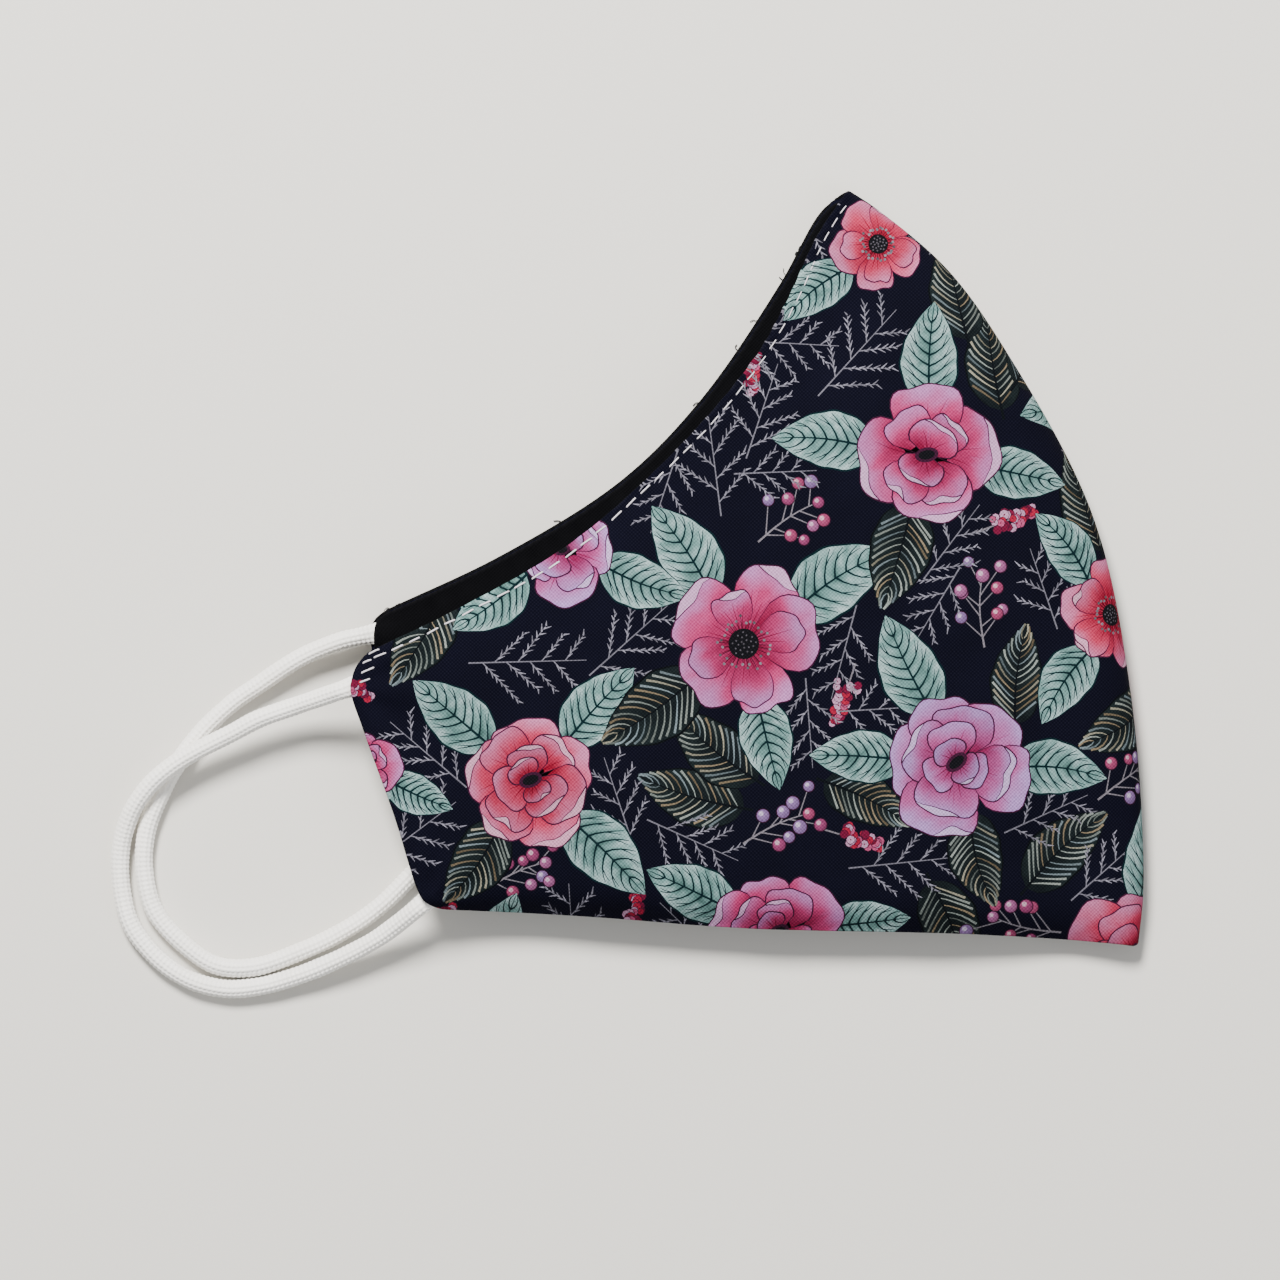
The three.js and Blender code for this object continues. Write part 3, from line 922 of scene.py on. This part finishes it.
def inside(points, outline):
    """Which points lie within a closed outline."""
    x, y = points[:, :1], points[:, 1:]
    x0, y0 = outline.T
    x1, y1 = np.roll(x0, -1), np.roll(y0, -1)
    crosses = (y0 > y) != (y1 > y)
    at = x0 + (y - y0) * (x1 - x0) / np.where(y1 == y0, 1, y1 - y0)
    return np.sum(crosses & (x < at), axis=1) % 2 == 1


def in_sight(design):
    """The shapes of the design that no single later one covers."""
    lows = np.array([shape.min(axis=0) for shape, _ in design])
    highs = np.array([shape.max(axis=0) for shape, _ in design])
    kept = []
    for k, (shape, paint) in enumerate(design):
        over = np.all(lows[k + 1 :] <= lows[k], axis=1) & np.all(highs[k + 1 :] >= highs[k], axis=1)
        if not any(inside(shape, design[k + 1 + j][0]).all() for j in np.flatnonzero(over)):
            kept.append((shape, paint))
    return kept


# Sheets of cloth

def triangulate(points, shapes):
    """Points and triangles of a flat drawing, with the topmost shape under each triangle."""
    verts = [Vector(p) for p in points]
    faces = []
    for outline in shapes:
        faces.append(list(range(len(verts), len(verts) + len(outline))))
        verts += [Vector(p) for p in outline]
    places, _, triangles, _, _, owners = delaunay_2d_cdt(verts, [], faces, 1, 1e-4, True)
    kept = [(tri, max(own)) for tri, own in zip(triangles, owners) if 0 in own and len(tri) == 3]
    tris = np.array([tri for tri, _ in kept])
    top = np.array([own for _, own in kept])
    used, renamed = np.unique(tris, return_inverse=True)
    flat = np.array([places[i][:] for i in used])
    tris = renamed.reshape(-1, 3)
    a, b, c = flat[tris[:, 0]], flat[tris[:, 1]], flat[tris[:, 2]]
    turned = np.cross(b - a, c - a) < 0
    tris[turned] = tris[turned][:, ::-1]
    return flat, tris, top


def boundary(tris):
    """The outer edges of the triangles as one loop of points, and the triangle that each edge is on."""
    edges = tris[:, [0, 1, 1, 2, 2, 0]].reshape(-1, 2)
    owner = np.repeat(np.arange(len(tris)), 3)
    keys = {(int(a), int(b)): i for i, (a, b) in enumerate(edges)}
    follow = {a: (b, owner[i]) for (a, b), i in keys.items() if (b, a) not in keys}
    start = next(iter(follow))
    loop, owners, at = [], [], start
    while True:
        after, tri = follow[at]
        loop.append(at)
        owners.append(tri)
        at = after
        if at == start:
            return np.array(loop), np.array(owners)


def fill_points(outline, step):
    """A staggered grid of points over a flat outline."""
    low, high = outline.min(axis=0), outline.max(axis=0)
    rows = np.arange(low[1], high[1], step * 0.87)
    columns = np.arange(low[0], high[0], step)
    x = columns[None] + np.where(np.arange(len(rows)) % 2, step / 2, 0)[:, None]
    y = np.broadcast_to(rows[:, None], x.shape)
    return np.stack([x.ravel(), y.ravel()], axis=1)


def edge_points(line, step, reach):
    """Rows of points along the inside of a free edge."""
    along = (np.arange(int(line.length / step)) + 0.5) * step / line.length
    inward = -left_of(line.heading(along))
    insets = np.arange(0.5 + step, reach, step)
    shifts = np.arange(len(insets)) % 2 * step / 2 / line.length
    return np.vstack([line.at(along + shift) + inward * inset for shift, inset in zip(shifts, insets)])


def rolled_edge(edge, normal, near, radius, bends):
    """Rings of points that take a sheet's edge half way round, and their normals."""
    along = np.roll(edge, -1, axis=0) - np.roll(edge, 1, axis=0)
    outward = unit(np.cross(along, normal) * (1 if near else -1))
    for _ in range(3):
        outward = (np.roll(outward, 1, axis=0) + 2 * outward + np.roll(outward, -1, axis=0)) / 4
    outward = unit(outward)
    rings, normals = [], []
    for k in range(1, bends):
        turn = np.pi * k / bends
        rings.append(edge + radius * (outward * math.sin(turn) - normal * (1 - math.cos(turn))))
        normals.append(outward * math.sin(turn) + normal * math.cos(turn))
    return rings, normals


def sheet_mesh(name, surface, outline, thickness, step, shapes=(), paints=(), extra=None, bends=6):
    """One closed sheet: its outer face, a rolled edge and its back, with extra points on the outer face."""
    points = fill_points(outline, step)
    if extra is not None:
        points = np.vstack([points, extra])
    flat, tris, top = triangulate(points, [outline] + list(shapes))
    places, normals = surface.read(flat)
    loop, owners = boundary(tris)
    rings, ring_normals = rolled_edge(places[loop], normals[loop], surface.half.near, thickness / 2, bends)
    back_flat, back_tris, _ = triangulate(fill_points(outline, BACK_STEP), [flat[loop]])
    back_places, back_normals = surface.read(back_flat)
    back_loop, _ = boundary(back_tris)
    start = int(np.argmin(np.linalg.norm(back_flat[back_loop] - flat[loop[0]], axis=1)))
    back_loop = np.roll(back_loop, -start)

    verts = [places] + rings + [back_places - back_normals * thickness]
    vert_normals = [normals] + ring_normals + [-back_normals]
    count, size = len(places), len(loop)
    levels = [loop] + [count + k * size + np.arange(size) for k in range(bends - 1)]
    levels.append(count + (bends - 1) * size + back_loop)
    here, after = np.arange(size), np.roll(np.arange(size), -1)
    faces = [tris]
    ground = paints[0](flat[:1]) if paints else np.zeros(3)
    colours = np.zeros((len(tris), 3, 3))
    for shape in np.unique(top) if paints else ():
        mine = top == shape
        corners = flat[tris[mine]].reshape(-1, 2)
        colours[mine] = paints[shape](corners).reshape(-1, 3, 3)
    edge_colours = np.zeros((size, 2, 3))
    for k in range(size):
        row = list(tris[owners[k]])
        edge_colours[k] = colours[owners[k]][[row.index(loop[k]), row.index(loop[(k + 1) % size])]]
    corner_colours = [colours]
    for upper, lower in zip(levels, levels[1:]):
        faces.append(np.stack([upper[here], lower[here], lower[after]], axis=1))
        faces.append(np.stack([upper[here], lower[after], upper[after]], axis=1))
        corner_colours += [edge_colours[:, [0, 0, 1]], edge_colours[:, [0, 1, 1]]]
    faces.append(back_tris[:, ::-1] + count + (bends - 1) * size)
    corner_colours.append(np.broadcast_to(ground * BACK_OF_PRINT, (len(back_tris), 3, 3)))
    faces, corner_colours = np.vstack(faces), np.concatenate(corner_colours)
    if not surface.half.near:
        faces, corner_colours = faces[:, ::-1], corner_colours[:, ::-1]
    flat_places = np.vstack([flat] + [flat[loop]] * (bends - 1) + [back_flat])
    piece = mesh_object(name, np.vstack(verts), faces, np.vstack(vert_normals))
    add_vectors(piece.data, "cloth_place", flat_places * MM)
    if paints:
        add_colours(piece.data, "print", corner_colours.reshape(-1, 3))
    return piece


def mesh_object(name, verts, faces, normals=None):
    mesh = bpy.data.meshes.new(name)
    mesh.from_pydata((verts * MM).tolist(), [], [[int(i) for i in face] for face in faces])
    mesh.update()
    mesh.shade_smooth()
    if normals is not None:
        mesh.normals_split_custom_set_from_vertices(normals.tolist())
    piece = bpy.data.objects.new(name, mesh)
    bpy.context.scene.collection.objects.link(piece)
    return piece


def add_vectors(mesh, name, values):
    attribute = mesh.attributes.new(name, "FLOAT_VECTOR", "POINT")
    if values.shape[1] == 2:
        values = np.concatenate([values, np.zeros((len(values), 1))], axis=1)
    attribute.data.foreach_set("vector", values.astype(np.float32).ravel())


def add_colours(mesh, name, values):
    attribute = mesh.color_attributes.new(name, "FLOAT_COLOR", "CORNER")
    rgba = np.concatenate([values, np.ones((len(values), 1))], axis=1)
    attribute.data.foreach_set("color", rgba.astype(np.float32).ravel())


# Threads and cords

def tube(line, radius, sides, rings, shape=None):
    """A closed tube along a line in space. shape gives each point of the skin its offset across and up."""
    share = np.linspace(0, 1, rings)
    centre = line.at(share)
    ahead = unit(np.gradient(centre, axis=0))
    across = unit(np.cross(ahead, [0, 0, 1.0]))
    up = np.cross(across, ahead)
    turn = np.linspace(0, 2 * np.pi, sides, endpoint=False)
    wide, high = np.cos(turn)[None] * np.ones((rings, 1)), np.sin(turn)[None] * np.ones((rings, 1))
    if shape is not None:
        wide, high = shape(share[:, None] * line.length, turn[None], wide, high)
    skin = centre[:, None] + radius * (across[:, None] * wide[..., None] + up[:, None] * high[..., None])
    verts = np.vstack([skin.reshape(-1, 3), centre[:1], centre[-1:]])
    here, after = np.arange(sides), np.roll(np.arange(sides), -1)
    faces = []
    for k in range(rings - 1):
        low, top = k * sides, (k + 1) * sides
        faces += np.stack([low + here, top + here, top + after, low + after], axis=1).tolist()
    first, last = rings * sides, rings * sides + 1
    faces += [[first, b, a] for a, b in zip(after, here)]
    end = (rings - 1) * sides
    faces += [[last, end + a, end + b] for a, b in zip(after, here)]
    return verts, faces, centre


def loop_line(half, holds, route):
    """The middle of an ear loop, from its nose end to its chin end, with a stretch tucked into the cloth."""
    route = np.array(route, float)
    ends = []
    for hold, first in ((holds["nose"], route[0]), (holds["chin"], route[-1])):
        edge = half.ear.at(hold)
        s, t = np.array([0.0]), np.array([hold])
        level = half.level(edge[None], s, t, SEAM.length * np.ones(1))[0]
        middle = level - HALF_THICKNESS / 2 if half.near else level + HALF_THICKNESS / 2
        edge = np.append(edge, max(middle, CORD_DIAMETER / 2))
        way = edge - first
        way[2] *= 0.4
        ends.append((edge, edge + unit(way) * CORD_TUCK))
    (nose, nose_tuck), (chin, chin_tuck) = ends
    return Line(curve_through([nose_tuck, nose, *route, chin, chin_tuck], 16))


def knitted(length):
    """Skin of a round knitted elastic: columns of small V stitches, pinched flat where it is sewn in."""

    def shape(run, turn, wide, high):
        column = (turn * KNIT_COLUMNS / (2 * np.pi)) % 1 * 2 - 1
        row = run / KNIT_PITCH + 0.45 * np.abs(column)
        stitch = 0.5 + 0.5 * np.cos(2 * np.pi * row)
        rib = np.sqrt(np.clip(1 - column**2, 0, 1))
        skin = 0.86 + 0.06 * rib + 0.1 * stitch * rib
        skin = skin * (1 + 0.012 * np.sin(run * 0.9 + 2 * turn) + 0.01 * np.sin(run * 0.37))
        tucked = 1 - smooth_step(np.minimum(run, length - run), CORD_TUCK - 1.0, CORD_TUCK + 2.4)
        return wide * skin * (1 + 0.12 * tucked), high * skin * (1 - 0.5 * tucked)

    return shape


def ear_loop(name, half, holds, route):
    line = loop_line(half, holds, route)
    rings = int(line.length / KNIT_PITCH * RINGS_PER_STITCH)
    sides = KNIT_COLUMNS * SIDES_PER_COLUMN
    verts, faces, centre = tube(line, CORD_DIAMETER / 2, sides, rings, knitted(line.length))
    piece = mesh_object(name + "_cord", verts, faces)
    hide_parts(name)
    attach(piece, "root")
    path = centre[:: max(1, rings // 120)]
    path = np.vstack([path, centre[-1:]])
    return piece


def joined(name, parts):
    """One mesh of many small closed ones."""
    verts, faces, count = [], [], 0
    for part_verts, part_faces in parts:
        verts.append(part_verts)
        faces += [[i + count for i in face] for face in part_faces]
        count += len(part_verts)
    return mesh_object(name, np.vstack(verts), faces)


def stitches(surface, half, seed):
    """White thread along the nose edge, dipping into the cloth between one stitch and the next."""
    random = np.random.default_rng(seed)
    edge = half.nose
    parts = []

    def stitch(at, long, inset):
        shares = (at + np.linspace(0, long, STITCH_POINTS)) / edge.length
        inward = -left_of(edge.heading(shares))
        flat = edge.at(shares) + inward * inset
        slant = np.linspace(-STITCH_WANDER, STITCH_WANDER, STITCH_POINTS)[:, None]
        flat += inward * slant * random.uniform(-1, 1)
        places, normals = surface.read(flat)
        lift = STITCH_LIFT - STITCH_DIP * np.linspace(-1, 1, STITCH_POINTS) ** 8
        line = Line(places + normals * lift[:, None])
        thick = THREAD_DIAMETER * (1 - THREAD_THINNING * smooth_step(at / edge.length, 0.3, 0.75))
        parts.append(tube(line, thick / 2, 8, 11, twisted)[:2])

    at = STITCH_START
    while at < edge.length - STITCH_END:
        pitch = stitch_pitch(at / edge.length)
        long = STITCH_LENGTH * pitch / STITCH_PITCH * random.uniform(0.84, 1.04)
        stitch(at, long, stitch_inset(at / edge.length))
        at += pitch
    for at, long, inset in BACK_STITCHES:
        stitch(at, long, inset)
    return parts


def stitch_inset(share):
    """How far the stitches are from the edge: the line was sewn by hand and eye."""
    return STITCH_INSET + 0.16 * np.sin(9 * share) + 0.12 * np.sin(23 * share + 1)


def stitch_pitch(share):
    """Stitches crowd towards the tip."""
    return STITCH_PITCH * (1 - 0.16 * smooth_step(share, 0.55, 1))


def loose_fibres(surface, half, seed):
    """Short curled ends of yarn that stand out from the nose edge."""
    random = np.random.default_rng(seed)
    edge = half.nose
    parts = []
    spread = random.uniform(0.05, 0.95, FIBRE_COUNT - len(FIRST_FIBRES))
    for share in [*FIRST_FIBRES, *spread]:
        ahead = edge.heading(np.array([share]))
        place, _ = surface.read(edge.at(np.array([share])) + ahead * 0.2)
        root = place[0] - [0, 0, OUTER_THICKNESS / 2]
        turn = math.atan2(ahead[0, 0], -ahead[0, 1]) + random.uniform(-1.1, 1.1)
        steps = np.cumsum(random.uniform(-0.75, 0.75, 5)) + turn
        long = FIBRE_LENGTH * random.uniform(0.5, 1.2)
        way = np.stack([np.cos(steps), np.sin(steps), random.uniform(-0.1, 0.25, 5)], axis=1) * long / 5
        points = np.vstack([root, root + np.cumsum(way, axis=0)])
        points[:, 2] = np.maximum(points[:, 2], FIBRE_CLEARANCE)
        parts.append(tube(Line(curve_through(points, 5)), random.uniform(0.05, 0.11), 6, 14)[:2])
    return parts


def twisted(run, turn, wide, high):
    """Two plies twisted together."""
    ply = 0.86 + 0.14 * np.abs(np.cos(turn - 4.2 * run))
    return wide * ply, high * ply


# Fine forms of the cloth

def ripple(places, length, seed):
    """Soft uneven ripples of about that length, between -1 and 1."""
    random = np.random.default_rng(seed)
    total = np.zeros(len(places))
    for _ in range(WAVES_PER_RIPPLE):
        angle = random.uniform(0, 2 * np.pi)
        wave = 2 * np.pi / (length * random.uniform(0.7, 1.5))
        total += np.sin(places @ (wave * direction(angle)) + random.uniform(0, 6.28))
    return total / WAVES_PER_RIPPLE


def over_cords(places, half, holds):
    """How much the cloth swells over the sewn-in ends of its ear loop, up to 1."""
    return sum(bell(places, half.ear.at(hold), 0, *CORD_SWELL_REACH) for hold in holds.values())


def rolled(edge, places, depth, width):
    """How far the cloth sinks towards a rolled edge."""
    _, off = edge.nearest(places)
    return depth * np.exp(-((np.abs(off) / width) ** 1.5))


def near_form(half, swell):
    """Soft forms that both layers of the near half share: ripples, rolled edges and pulls from the loop."""
    loop_ends = [half.ear.at(hold) for hold in NEAR_LOOP_HOLDS.values()]

    def rise(places, from_seam):
        near_cords = sum(bell(places, end, 0, CORD_HOLD_REACH, CORD_HOLD_REACH) for end in loop_ends)
        inner = smooth_step(from_seam, 1, 9)
        total = inner * sum(high * ripple(places, length, seed) for length, seed, high in NEAR_RIPPLES)
        chin = rolled(half.chin, places, CHIN_ROLL, CHIN_ROLL_WIDTH) * smooth_step(from_seam, 0, 14)
        ear = rolled(half.ear, places, EAR_ROLL, EAR_ROLL_WIDTH) * smooth_step(from_seam, 20, 40)
        total -= (chin + ear) * (1 - np.clip(near_cords, 0, 1))
        total += swell * over_cords(places, half, NEAR_LOOP_HOLDS)
        for end in loop_ends:
            reach = places - end
            away = np.linalg.norm(reach, axis=1)
            fan = np.arctan2(reach[:, 1], reach[:, 0])
            total += FAN_RISE * np.cos(FAN_CREASES * fan + 0.8) * ridge(away - FAN_PLACE, FAN_WIDTH)
        return total

    return rise


def near_creases(half):
    """Rise of the near half's outside: the shared forms, the stitched groove and the puckers along it."""
    form = near_form(half, OUTER_SWELL)

    def rise(places, from_seam):
        total = form(places, from_seam)
        share, off = half.nose.nearest(places)
        inset = np.abs(off)
        line = stitch_inset(share)
        phase = 2 * np.pi * (share * half.nose.length - STITCH_START) / stitch_pitch(share)
        tight = 0.55 + 0.75 * smooth_step(share, 0.45, 0.95)
        pucker = phase * PUCKERS_PER_STITCH + 2 * np.sin(5 * share)
        groove = tight * ridge(inset - line, GROOVE_WIDTH)
        total -= GROOVE_DEPTH * groove * (1 + 0.35 * np.cos(phase - 1))
        puff = tight * ridge(inset - 0.55 * line, PUCKER_WIDTH)
        total += PUCKER_RISE * puff * (0.8 - 0.75 * np.cos(pucker))
        pull = tight * ridge(inset - line - PULL_PLACE, PULL_WIDTH)
        total += PULL_RISE * pull * np.cos(pucker + 2.6)
        return total

    return rise


def far_creases(half):
    """Rise of the far half's lining: soft ripples, a seam line by its nose edge, dips at its loop's ends."""

    def rise(places, from_seam):
        inner = smooth_step(from_seam, 2, 12)
        _, off = half.nose.nearest(places)
        seam = FAR_SEAM_RISE * ridge(np.abs(off) - FAR_SEAM_INSET, FAR_SEAM_WIDTH)
        length, seed, high = FAR_RIPPLE
        return inner * high * ripple(places, length, seed) + seam - over_cords(places, half, FAR_LOOP_HOLDS)

    return rise


# Materials

class Nodes:
    """A principled material under construction."""

    def __init__(self, name, colour, roughness, sheen, shine=0.3):
        self.material = bpy.data.materials.new(name)
        self.material.use_nodes = True
        self.tree = self.material.node_tree
        self.shader = self.tree.nodes["Principled BSDF"]
        self.shader.inputs["Base Color"].default_value = (*colour, 1)
        self.shader.inputs["Roughness"].default_value = roughness
        self.shader.inputs["Specular IOR Level"].default_value = shine
        self.shader.inputs["Sheen Weight"].default_value = sheen
        self.shader.inputs["Sheen Roughness"].default_value = 0.5

    def add(self, kind, **values):
        node = self.tree.nodes.new(kind)
        for key, value in values.items():
            if key in node.inputs:
                node.inputs[key].default_value = value
            else:
                setattr(node, key, value)
        return node

    def link(self, source, target):
        self.tree.links.new(source, target)

    def attribute(self, name):
        return self.add("ShaderNodeAttribute", attribute_name=name)

    def maths(self, operation, first, second=None):
        node = self.add("ShaderNodeMath", operation=operation)
        for socket, value in zip(node.inputs, (first, second)):
            if isinstance(value, (int, float)):
                socket.default_value = value
            elif value is not None:
                self.link(value, socket)
        return node.outputs[0]

    def noise(self, place, scale, detail):
        node = self.add("ShaderNodeTexNoise", Scale=scale, Detail=detail)
        self.link(place, node.inputs["Vector"])
        return node.outputs["Fac"]

    def scaled(self, value, by, start):
        """The value times by, and start added to it."""
        return self.maths("ADD", self.maths("MULTIPLY", value, by), start)

    def mixed(self, blend_type, amount, first, second):
        node = self.add("ShaderNodeMix", data_type="RGBA", blend_type=blend_type)
        if isinstance(amount, float):
            node.inputs["Factor"].default_value = amount
        else:
            self.link(amount, node.inputs["Factor"])
        sockets = [s for s in node.inputs if s.type == "RGBA"]
        for socket, value in zip(sockets, (first, second)):
            if isinstance(value, np.ndarray):
                socket.default_value = (*value, 1)
            else:
                self.link(value, socket)
        return next(s for s in node.outputs if s.type == "RGBA")

    def grey(self, value):
        node = self.add("ShaderNodeCombineColor")
        for socket in node.inputs:
            self.link(value, socket)
        return node.outputs[0]

    def bump(self, height, distance, strength=1.0):
        node = self.add("ShaderNodeBump", Strength=strength, Distance=distance)
        self.link(height, node.inputs["Height"])
        self.link(node.outputs[0], self.shader.inputs["Normal"])


def weave(nodes, place, pitch):
    """Height of a plain weave of threads that far apart, from 0 to 1, wavering as spun yarn does."""
    split = nodes.add("ShaderNodeSeparateXYZ")
    nodes.link(place, split.inputs[0])
    drift = nodes.maths("MULTIPLY", nodes.noise(place, 1 / (pitch * 14), 2.0), 4.0)
    x = nodes.scaled(split.outputs[0], math.pi / pitch, drift)
    y = nodes.scaled(split.outputs[1], math.pi / pitch, drift)
    return nodes.scaled(nodes.maths("MULTIPLY", nodes.maths("SINE", x), nodes.maths("SINE", y)), 0.5, 0.5)


def cotton(name, colour, printed, pitch):
    nodes = Nodes(name, colour, 0.9, 0.0, 0.03)
    place = nodes.attribute("cloth_place").outputs["Vector"]
    height = weave(nodes, place, pitch)
    fuzz = nodes.noise(place, 2300.0, 3.0)
    patches = nodes.noise(place, 95.0, 4.0)
    base = nodes.attribute("print").outputs["Color"] if printed else colour
    # Painted shade: the weave's height darkens the colour in the hollows between threads and lightens it on
    # their tops; shade joins this with random yarn and patch tone.
    threads = nodes.scaled(height, 0.5, 0.72)
    yarn = nodes.scaled(fuzz, 0.7, 0.68)
    wash = nodes.scaled(patches, 0.4, 0.8)
    shade = nodes.maths("MULTIPLY", nodes.maths("MULTIPLY", threads, yarn), wash)
    tinted = nodes.mixed("MULTIPLY", 1.0, base, nodes.grey(shade))
    if printed:
        # Painted highlights: a little grey added on the tops of the threads, in place of their shine.
        crown_highlights = nodes.maths("MULTIPLY", nodes.maths("MULTIPLY", height, height), shade)
        tinted = nodes.mixed("ADD", 1.0, tinted, nodes.grey(nodes.maths("MULTIPLY", crown_highlights, 0.0024)))
    nodes.link(tinted, nodes.shader.inputs["Base Color"])
    nodes.link(nodes.scaled(fuzz, 0.14, 0.82), nodes.shader.inputs["Roughness"])
    nodes.bump(nodes.maths("ADD", height, nodes.maths("MULTIPLY", fuzz, 0.5)), 0.00007, 0.8)
    return nodes.material


def elastic():
    nodes = Nodes("white_elastic", tone("#f1eee7"), 0.5, 0.25)
    place = nodes.add("ShaderNodeTexCoord").outputs["Object"]
    fibre = nodes.noise(place, 3200.0, 3.0)
    soiled = nodes.mixed("MIX", nodes.noise(place, 120.0, 3.0), tone("#fffdf9"), tone("#f2eee6"))
    nodes.link(soiled, nodes.shader.inputs["Base Color"])
    nodes.link(nodes.scaled(fibre, 0.25, 0.36), nodes.shader.inputs["Roughness"])
    nodes.bump(fibre, 0.00004, 0.5)
    return nodes.material


def thread(name, colour):
    nodes = Nodes(name, colour, 0.55, 0.2)
    place = nodes.add("ShaderNodeTexCoord").outputs["Object"]
    fibre = nodes.noise(place, 5200.0, 2.0)
    shade = nodes.grey(nodes.scaled(fibre, 0.5, 0.7))
    nodes.link(nodes.mixed("MULTIPLY", 1.0, colour, shade), nodes.shader.inputs["Base Color"])
    nodes.bump(fibre, 0.00003, 0.6)
    return nodes.material


# Camera, floor and light

def make_camera():
    data = bpy.data.cameras.new("camera")
    data.sensor_width = SENSOR_WIDTH
    data.lens = SENSOR_WIDTH * CAMERA_HEIGHT / (PHOTO_WIDTH_PX * PX)
    data.clip_start, data.clip_end = 0.01, 20
    camera = bpy.data.objects.new("camera", data)
    camera.location = (FRAME_CENTRE_PX[0] * PX * MM, FRAME_CENTRE_PX[1] * PX * MM, CAMERA_HEIGHT * MM)
    bpy.context.scene.collection.objects.link(camera)
    bpy.context.scene.camera = camera


def make_floor():
    half = FLOOR_WIDTH / 2
    mesh = bpy.data.meshes.new("floor")
    corners = [(-half, -half, 0), (half, -half, 0), (half, half, 0), (-half, half, 0)]
    mesh.from_pydata(corners, [], [(0, 1, 2, 3)])
    floor = bpy.data.objects.new("floor", mesh)
    floor.location.z = -FLOOR_DROP
    bpy.context.scene.collection.objects.link(floor)
    nodes = Nodes("floor", tone("#d8d5ce"), 0.75, 0.0)
    mesh.materials.append(nodes.material)


def make_lights():
    def area(name, place, size, power, colour):
        data = bpy.data.lights.new(name, "AREA")
        data.shape, data.size, data.energy, data.color = "DISK", size, power, colour
        light = bpy.data.objects.new(name, data)
        light.location = place
        light.rotation_euler = (Vector((-0.02, -0.01, 0)) - Vector(place)).to_track_quat("-Z", "Y").to_euler()
        bpy.context.scene.collection.objects.link(light)

    area("key", (-0.25, 0.62, 0.85), 0.34, 34, (1, 0.98, 0.95))
    area("fill", (0.7, -0.5, 0.8), 0.8, 4.5, (0.95, 0.97, 1))
    world = bpy.data.worlds.new("world")
    world.use_nodes = True
    world.node_tree.nodes["Background"].inputs["Color"].default_value = (0.95, 0.97, 1, 1)
    world.node_tree.nodes["Background"].inputs["Strength"].default_value = 0.42
    bpy.context.scene.world = world


# The mask

def dress(piece, node, material):
    piece.data.materials.append(material)
    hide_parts(node)
    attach(piece, "root")


def ground_paint(places):
    return GROUND * (1 + 0.1 * mottle(places, 9)[:, None])


def outer_panel(name, half, shift, turn, step, creases=None):
    surface = Surface(half, 0, creases)
    outline = flat_outline(half, 0, OUTER_THICKNESS / 2, OUTER_OUTLINE_STEP)
    low, high = outline.min(axis=0), outline.max(axis=0)
    design = [
        (shape, paint)
        for shape, paint in laid(PRINT, np.array(shift, float), turn)
        if np.all(shape.max(axis=0) > low) and np.all(shape.min(axis=0) < high)
    ]
    design = in_sight(design)
    if not half.near:
        design.append(bound_edge(half))
    shapes, paints = [shape for shape, _ in design], [ground_paint] + [paint for _, paint in design]
    extra = edge_points(half.nose, STITCHED_STEP, STITCHED_REACH) if half.near else None
    return sheet_mesh(name, surface, outline, OUTER_THICKNESS, step, shapes, paints, extra), surface


def bound_edge(half):
    """The black lining, rolled a little way over the nose edge onto the outside."""
    share = np.linspace(-0.03, 1.03, 80)
    outward = left_of(half.nose.heading(share))
    line = half.nose.at(share)
    band = np.vstack([line - outward * EDGING_WIDTH, (line + outward * EDGING_SPARE)[::-1]])
    return band, plain(BLACK)


def lining_panel(name, half, creases):
    surface = Surface(half, LINING_START, creases)
    outline = flat_outline(half, LINING_INSET, LINING_THICKNESS / 2, LINING_OUTLINE_STEP)
    return sheet_mesh(name, surface, outline, LINING_THICKNESS, LINING_STEP)


make_camera()
make_floor()
make_lights()

NEAR = Half(NEAR_EDGES, True)
FAR = Half(FAR_EDGES, False)

white = elastic()
for loop in (
    ear_loop("ear_loop_near", NEAR, NEAR_LOOP_HOLDS, NEAR_LOOP_ROUTE),
    ear_loop("ear_loop_far", FAR, FAR_LOOP_HOLDS, FAR_LOOP_ROUTE),
):
    loop.data.materials.append(white)

printed = cotton("printed_cotton", (0.02, 0.02, 0.05), True, WEAVE_PITCH)
black = cotton("black_cotton", BLACK, False, WEAVE_PITCH)
PRINT = draw_print(PRINT_SEED, FILLING_SEED)

near_outer, near_surface = outer_panel("outer_near_cloth", NEAR, (0, 0), 0, NEAR_STEP, near_creases(NEAR))
dress(near_outer, "outer_near", printed)
near_lining = lining_panel("lining_near_cloth", NEAR, near_form(NEAR, LINING_SWELL))
dress(near_lining, "lining_near", black)
far_outer, far_surface = outer_panel("outer_far_cloth", FAR, FAR_PRINT_SHIFT, FAR_PRINT_TURN, FAR_STEP)
dress(far_outer, "outer_far", printed)
far_lining = lining_panel("lining_far_cloth", FAR, far_creases(FAR))
dress(far_lining, "lining_far", black)

topstitch = joined("topstitch_near", stitches(near_surface, NEAR, STITCH_SEED))
topstitch.data.materials.append(thread("white_thread", tone("#cdc8cf")))
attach(topstitch, "root")

lint = joined("loose_fibres_far", loose_fibres(far_surface, FAR, FIBRE_SEED))
lint.data.materials.append(thread("black_thread", tone("#17161b")))
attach(lint, "root")
